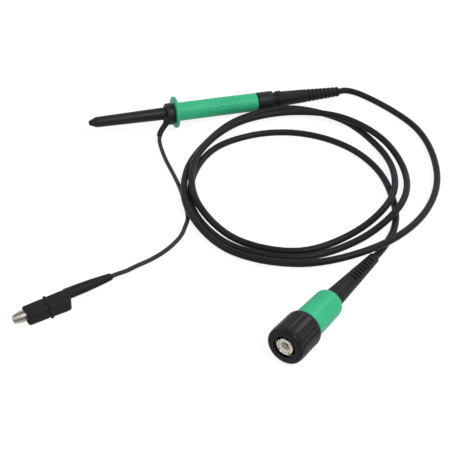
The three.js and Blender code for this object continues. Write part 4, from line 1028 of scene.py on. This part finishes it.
# ------------------------------ jaws
# Two channels folded from plated steel sheet, toothed along their open edges and stiffened by
# a pressed groove. The near one runs on as the lever under the cover and turns on the pin.
jaw_tip = -17.0
jaw_rear = 8.6
jaw_sheet = 0.4
jaw_half = 1.9
jaw_depth = 1.65
jaw_swell = 0.5  # how much deeper it gets behind the tip
jaw_fuller = 0.25  # and how much broader
jaw_corner = 0.55
jaw_groove = 0.3
jaw_gap = 0.15  # from the middle to a jaw's edge
tooth_start = jaw_tip + 0.5
tooth_pitch = 1.1
tooth_count = 6
tooth_depth = 0.3
near_jaw_end = -3.4
far_jaw_step = -6
lever_from = -4.9
lever_half = 1.2
lever_edge = 0.8
ear_radius = 1.2
ear_bore = 0.75
# Painted shade: the jaws' plating is darkened to brown along a band at this height, for the shadow in
# the pressed groove.
groove_shade_height = 4.1  # above the table, along the pressed groove


def jaw_edge(x):
    """The toothed free edge's distance from the middle."""
    if x < tooth_start:
        return jaw_gap + 0.5 * (tooth_start - x)
    along = (x - tooth_start) / tooth_pitch
    if along > tooth_count:
        return jaw_gap
    return jaw_gap + tooth_depth * (1 - abs(2 * (along % 1) - 1))


def jaw_ring(x, edge, depth, half, sheet, groove):
    """A channel's section: out over its back and home along its inside."""
    ring = []
    for inset in (0, sheet):
        out, high, round_off = depth - inset, half - inset, max(jaw_corner - inset, 0.15)
        side = [(min(edge, out - round_off - 0.01), high)]
        for turn in range(0, 91, 18):
            side.append((out - round_off * (1 - sin(radians(turn))),
                         high - round_off * (1 - cos(radians(turn)))))
        for step in range(1, 20):
            z = (high - round_off) * (1 - step / 10)
            pressed = max(0, 1 - ((z - 0.1) / 0.8) ** 2)
            side.append((out - groove * pressed ** 1.5, z))
        side += [(y, -z) for y, z in reversed(side[:7])]
        ring += side if inset == 0 else reversed(side)
    return [(x, y, z) for y, z in ring]


def jaw_front(name, rear, flip):
    """A jaw from its closed tip to where its wide part ends."""
    rings = []
    stations = [jaw_tip, jaw_tip + 0.08, jaw_tip + 0.2, jaw_tip + 0.36]
    stations += [tooth_start + tooth_pitch * i / 8 for i in range(8 * tooth_count + 1)]
    stations += [-9, -8, rear]
    for x in stations:
        from_tip = x - jaw_tip
        taper = max(0, 1 - from_tip / 4)
        tip = max(0, 1 - from_tip / 0.36)
        depth = jaw_depth + jaw_swell * min(1, from_tip / 6) - 0.5 * taper ** 1.4 - 0.12 * tip ** 2
        half = jaw_half + jaw_fuller * min(1, max(0, (9 - from_tip) / 2))
        half -= 0.25 * taper ** 1.5 + 0.15 * tip ** 2
        sheet = jaw_sheet if from_tip > 0.4 else depth - jaw_edge(x) - 0.03
        groove = jaw_groove * min(1, max(0, (from_tip - 1.2) / 0.9))
        section = jaw_ring(x, jaw_edge(x), depth, half, min(sheet, half - 0.2), groove)
        rings.append([(x, y * flip, z) for x, y, z in section])
    return lofted(name, rings, clip, sharp=40)


def channel(name, stations, half, flip):
    """A plain folded channel through stations of (x, inner edge, outer back)."""
    rings = []
    for x, edge, depth in stations:
        section = jaw_ring(x, edge, depth, half, jaw_sheet, 0)
        rings.append([(x, y * flip, z) for x, y, z in section])
    return lofted(name, rings, clip, sharp=40)


upright = clip @ Matrix.Rotation(-pi / 2, 4, "Y")


def ears(half):
    """The two round lugs that the pin goes through."""
    return [turned(f"ear_{end}", [
        (low, ear_bore), (low, ear_radius), (low + jaw_sheet, ear_radius), (low + jaw_sheet, ear_bore),
    ], upright, sides=48, looped=True) for end, low in (("top", half - jaw_sheet), ("bottom", -half))]


far_stations = [(at, jaw_gap, jaw_depth) for at in (far_jaw_step, jaw_rear)]
lever_stations = [(lever_from, lever_edge, 1.62), (1.5, lever_edge, 2.4), (jaw_rear, 1.9, 3.3)]
far_jaw = gathered("clip_far_jaw", [
    jaw_front("far_front", far_jaw_step, 1), channel("far_rear", far_stations, jaw_half, 1),
    *ears(jaw_half)])
near_jaw = gathered("clip_near_jaw", [
    jaw_front("near_front", near_jaw_end, -1), channel("near_lever", lever_stations, lever_half, -1),
    *ears(lever_half)])
jaw_plate = metal_finish("jaw_plating", (0.37, 0.35, 0.32), (0.62, 0.59, 0.54), (0.38, 0.5))
# Painted shade: a brown band mixed into the plating's colour around the pressed groove's height,
# standing in for the groove's shadow.
nodes, wire = jaw_plate.node_tree.nodes, jaw_plate.node_tree.links.new
place = next(node for node in nodes if node.type == "TEX_COORD")
height = added(nodes, "SeparateXYZ")
wire(place.outputs["Object"], height.inputs["Vector"])
off = added(nodes, "Math")
off.operation = "SUBTRACT"
off.inputs[1].default_value = groove_shade_height * mm
wire(height.outputs["Z"], off.inputs[0])
beside = added(nodes, "Math")
beside.operation = "ABSOLUTE"
wire(off.outputs[0], beside.inputs[0])
groove_shade = added(nodes, "MapRange", {
    "From Min": 0.4 * mm, "From Max": 0.9 * mm, "To Min": 0.85, "To Max": 0.0})
wire(beside.outputs[0], groove_shade.inputs["Value"])
painted_shade_mix = added(nodes, "Mix")
painted_shade_mix.data_type = "RGBA"
painted_shade_mix.inputs["B"].default_value = (0.13, 0.10, 0.075, 1)
wire(groove_shade.outputs["Result"], painted_shade_mix.inputs["Factor"])
tint = next(node for node in nodes if node.type == "VALTORGB")
shader = nodes["Principled BSDF"]
wire(tint.outputs["Color"], painted_shade_mix.inputs["A"])
wire(painted_shade_mix.outputs["Result"], shader.inputs["Base Color"])
for jaw, body, node in ((far_jaw, "probe", "clip_fixed_jaw"), (near_jaw, "jaw", "clip_moving_jaw")):
    jaw.data.materials.append(jaw_plate)
    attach(jaw, body)
    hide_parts(node)

# ------------------------------ metal and inside
# What is punched, wound, turned or soldered and mostly hidden: the clip's pin and spring, the
# nut and body of the plug, the other springs and washers, and the two small circuit boards.
steel = metal_finish("spring_steel", (0.42, 0.42, 0.44), (0.55, 0.55, 0.57), (0.25, 0.38))
board = finish("circuit_board", (0.02, 0.12, 0.05), (0.035, 0.17, 0.07), (0.3, 0.42),
               grain=(2500, 0.02), patches=300)
lacquer = finish("resistor_lacquer", (0.17, 0.33, 0.50), (0.22, 0.40, 0.58), (0.2, 0.32),
                 grain=(3000, 0.01), patches=500)
ceramic = finish("capacitor_resin", (0.40, 0.16, 0.04), (0.52, 0.23, 0.07), (0.35, 0.5),
                 grain=(3000, 0.02), patches=400)
# Painted shade: the nut's nickel is made much darker than the nickel elsewhere, for the shadow inside
# the plug's mouth.
shaded_nut_nickel = metal_finish("nickel_with_painted_shade", (0.12, 0.117, 0.112), (0.21, 0.205, 0.195),
                           (0.22, 0.32))
node_finishes = {
    "tip_core": hard_black, "hook_spring": steel, "ground_barrel": nickel,
    "attenuator_board": board, "tip_resistor": lacquer, "tip_capacitor": ceramic,
    "cable_ferrule": nickel, "bayonet_nut": shaded_nut_nickel, "gasket": soft_black, "bnc_body": nickel,
    "wave_washer": steel, "thrust_washer": steel, "comp_board": board,
    "load_resistor": lacquer, "clip_pin": steel, "clip_spring": steel,
}
for node, material in node_finishes.items():
    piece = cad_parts[node]
    piece.data.materials.clear()
    piece.data.materials.append(material)
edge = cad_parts["bayonet_nut"].modifiers.new("broken_edges", "BEVEL")
edge.width = 0.06 * mm
edge.segments = 2
edge.limit_method = "ANGLE"
edge.angle_limit = radians(40)

# ------------------------------ table and light
# A white table in a pale, evenly lit room: one large soft lamp above and in front, a small
# one behind on the right and a weak one from the left.
table_size = 6.0
table_mesh = bpy.data.meshes.new("table")
half = table_size / 2
table_mesh.from_pydata([(-half, -half, 0), (half, -half, 0), (half, half, 0), (-half, half, 0)],
                       [], [(0, 1, 2, 3)])
table = in_scene("table", table_mesh)


def seen_directly(nodes, wire):
    """One where the table or the room is looked at, in a mirror or through glass too."""
    path = added(nodes, "LightPath")
    total = path.outputs["Is Camera Ray"]
    for name in ("Is Glossy Ray", "Is Transmission Ray"):
        either = added(nodes, "Math")
        either.operation = "MAXIMUM"
        wire(total, either.inputs[0])
        wire(path.outputs[name], either.inputs[1])
        total = either.outputs[0]
    return total


white_top = bpy.data.materials.new("white_table_top")
white_top.use_nodes = True
nodes, wire = white_top.node_tree.nodes, white_top.node_tree.links.new
nodes.clear()
surface = added(nodes, "OutputMaterial")
plain = added(nodes, "BsdfDiffuse", {"Color": (0.75, 0.75, 0.75, 1)})
shaded = added(nodes, "BsdfDiffuse", {"Color": (0.16, 0.16, 0.16, 1)})
glow = added(nodes, "Emission", {"Strength": 0.89})
both = added(nodes, "AddShader")
choice = added(nodes, "MixShader")
wire(shaded.outputs[0], both.inputs[0])
wire(glow.outputs[0], both.inputs[1])
wire(seen_directly(nodes, wire), choice.inputs[0])
wire(plain.outputs[0], choice.inputs[1])
wire(both.outputs[0], choice.inputs[2])
wire(choice.outputs[0], surface.inputs["Surface"])
table_mesh.materials.append(white_top)

room = bpy.data.worlds.new("room")
bpy.context.scene.world = room
room.use_nodes = True
nodes, wire = room.node_tree.nodes, room.node_tree.links.new
air = nodes["Background"]
air.inputs["Color"].default_value = (1, 1, 1, 1)
strength = added(nodes, "MapRange", {"To Min": 0.32, "To Max": 1.0})
wire(seen_directly(nodes, wire), strength.inputs["Value"])
wire(strength.outputs["Result"], air.inputs["Strength"])


def lamp(name, spot, aim, size, power):
    light = bpy.data.lights.new(name, "AREA")
    light.size = size
    light.energy = power
    holder = in_scene(name, light)
    holder.location = spot
    holder.rotation_euler = (Vector(aim) - Vector(spot)).to_track_quat("-Z", "Y").to_euler()


lamp("front_lamp", (0.35, -0.85, 1.25), (0, -0.08, 0), 0.6, 13)
lamp("right_lamp", (1.17, 0.36, 1.1), (0, -0.15, 0), 0.4, 5)
lamp("left_lamp", (-1.3, 0.2, 0.9), (0, -0.08, 0), 0.8, 4)

bpy.context.scene.view_settings.view_transform = "Standard"
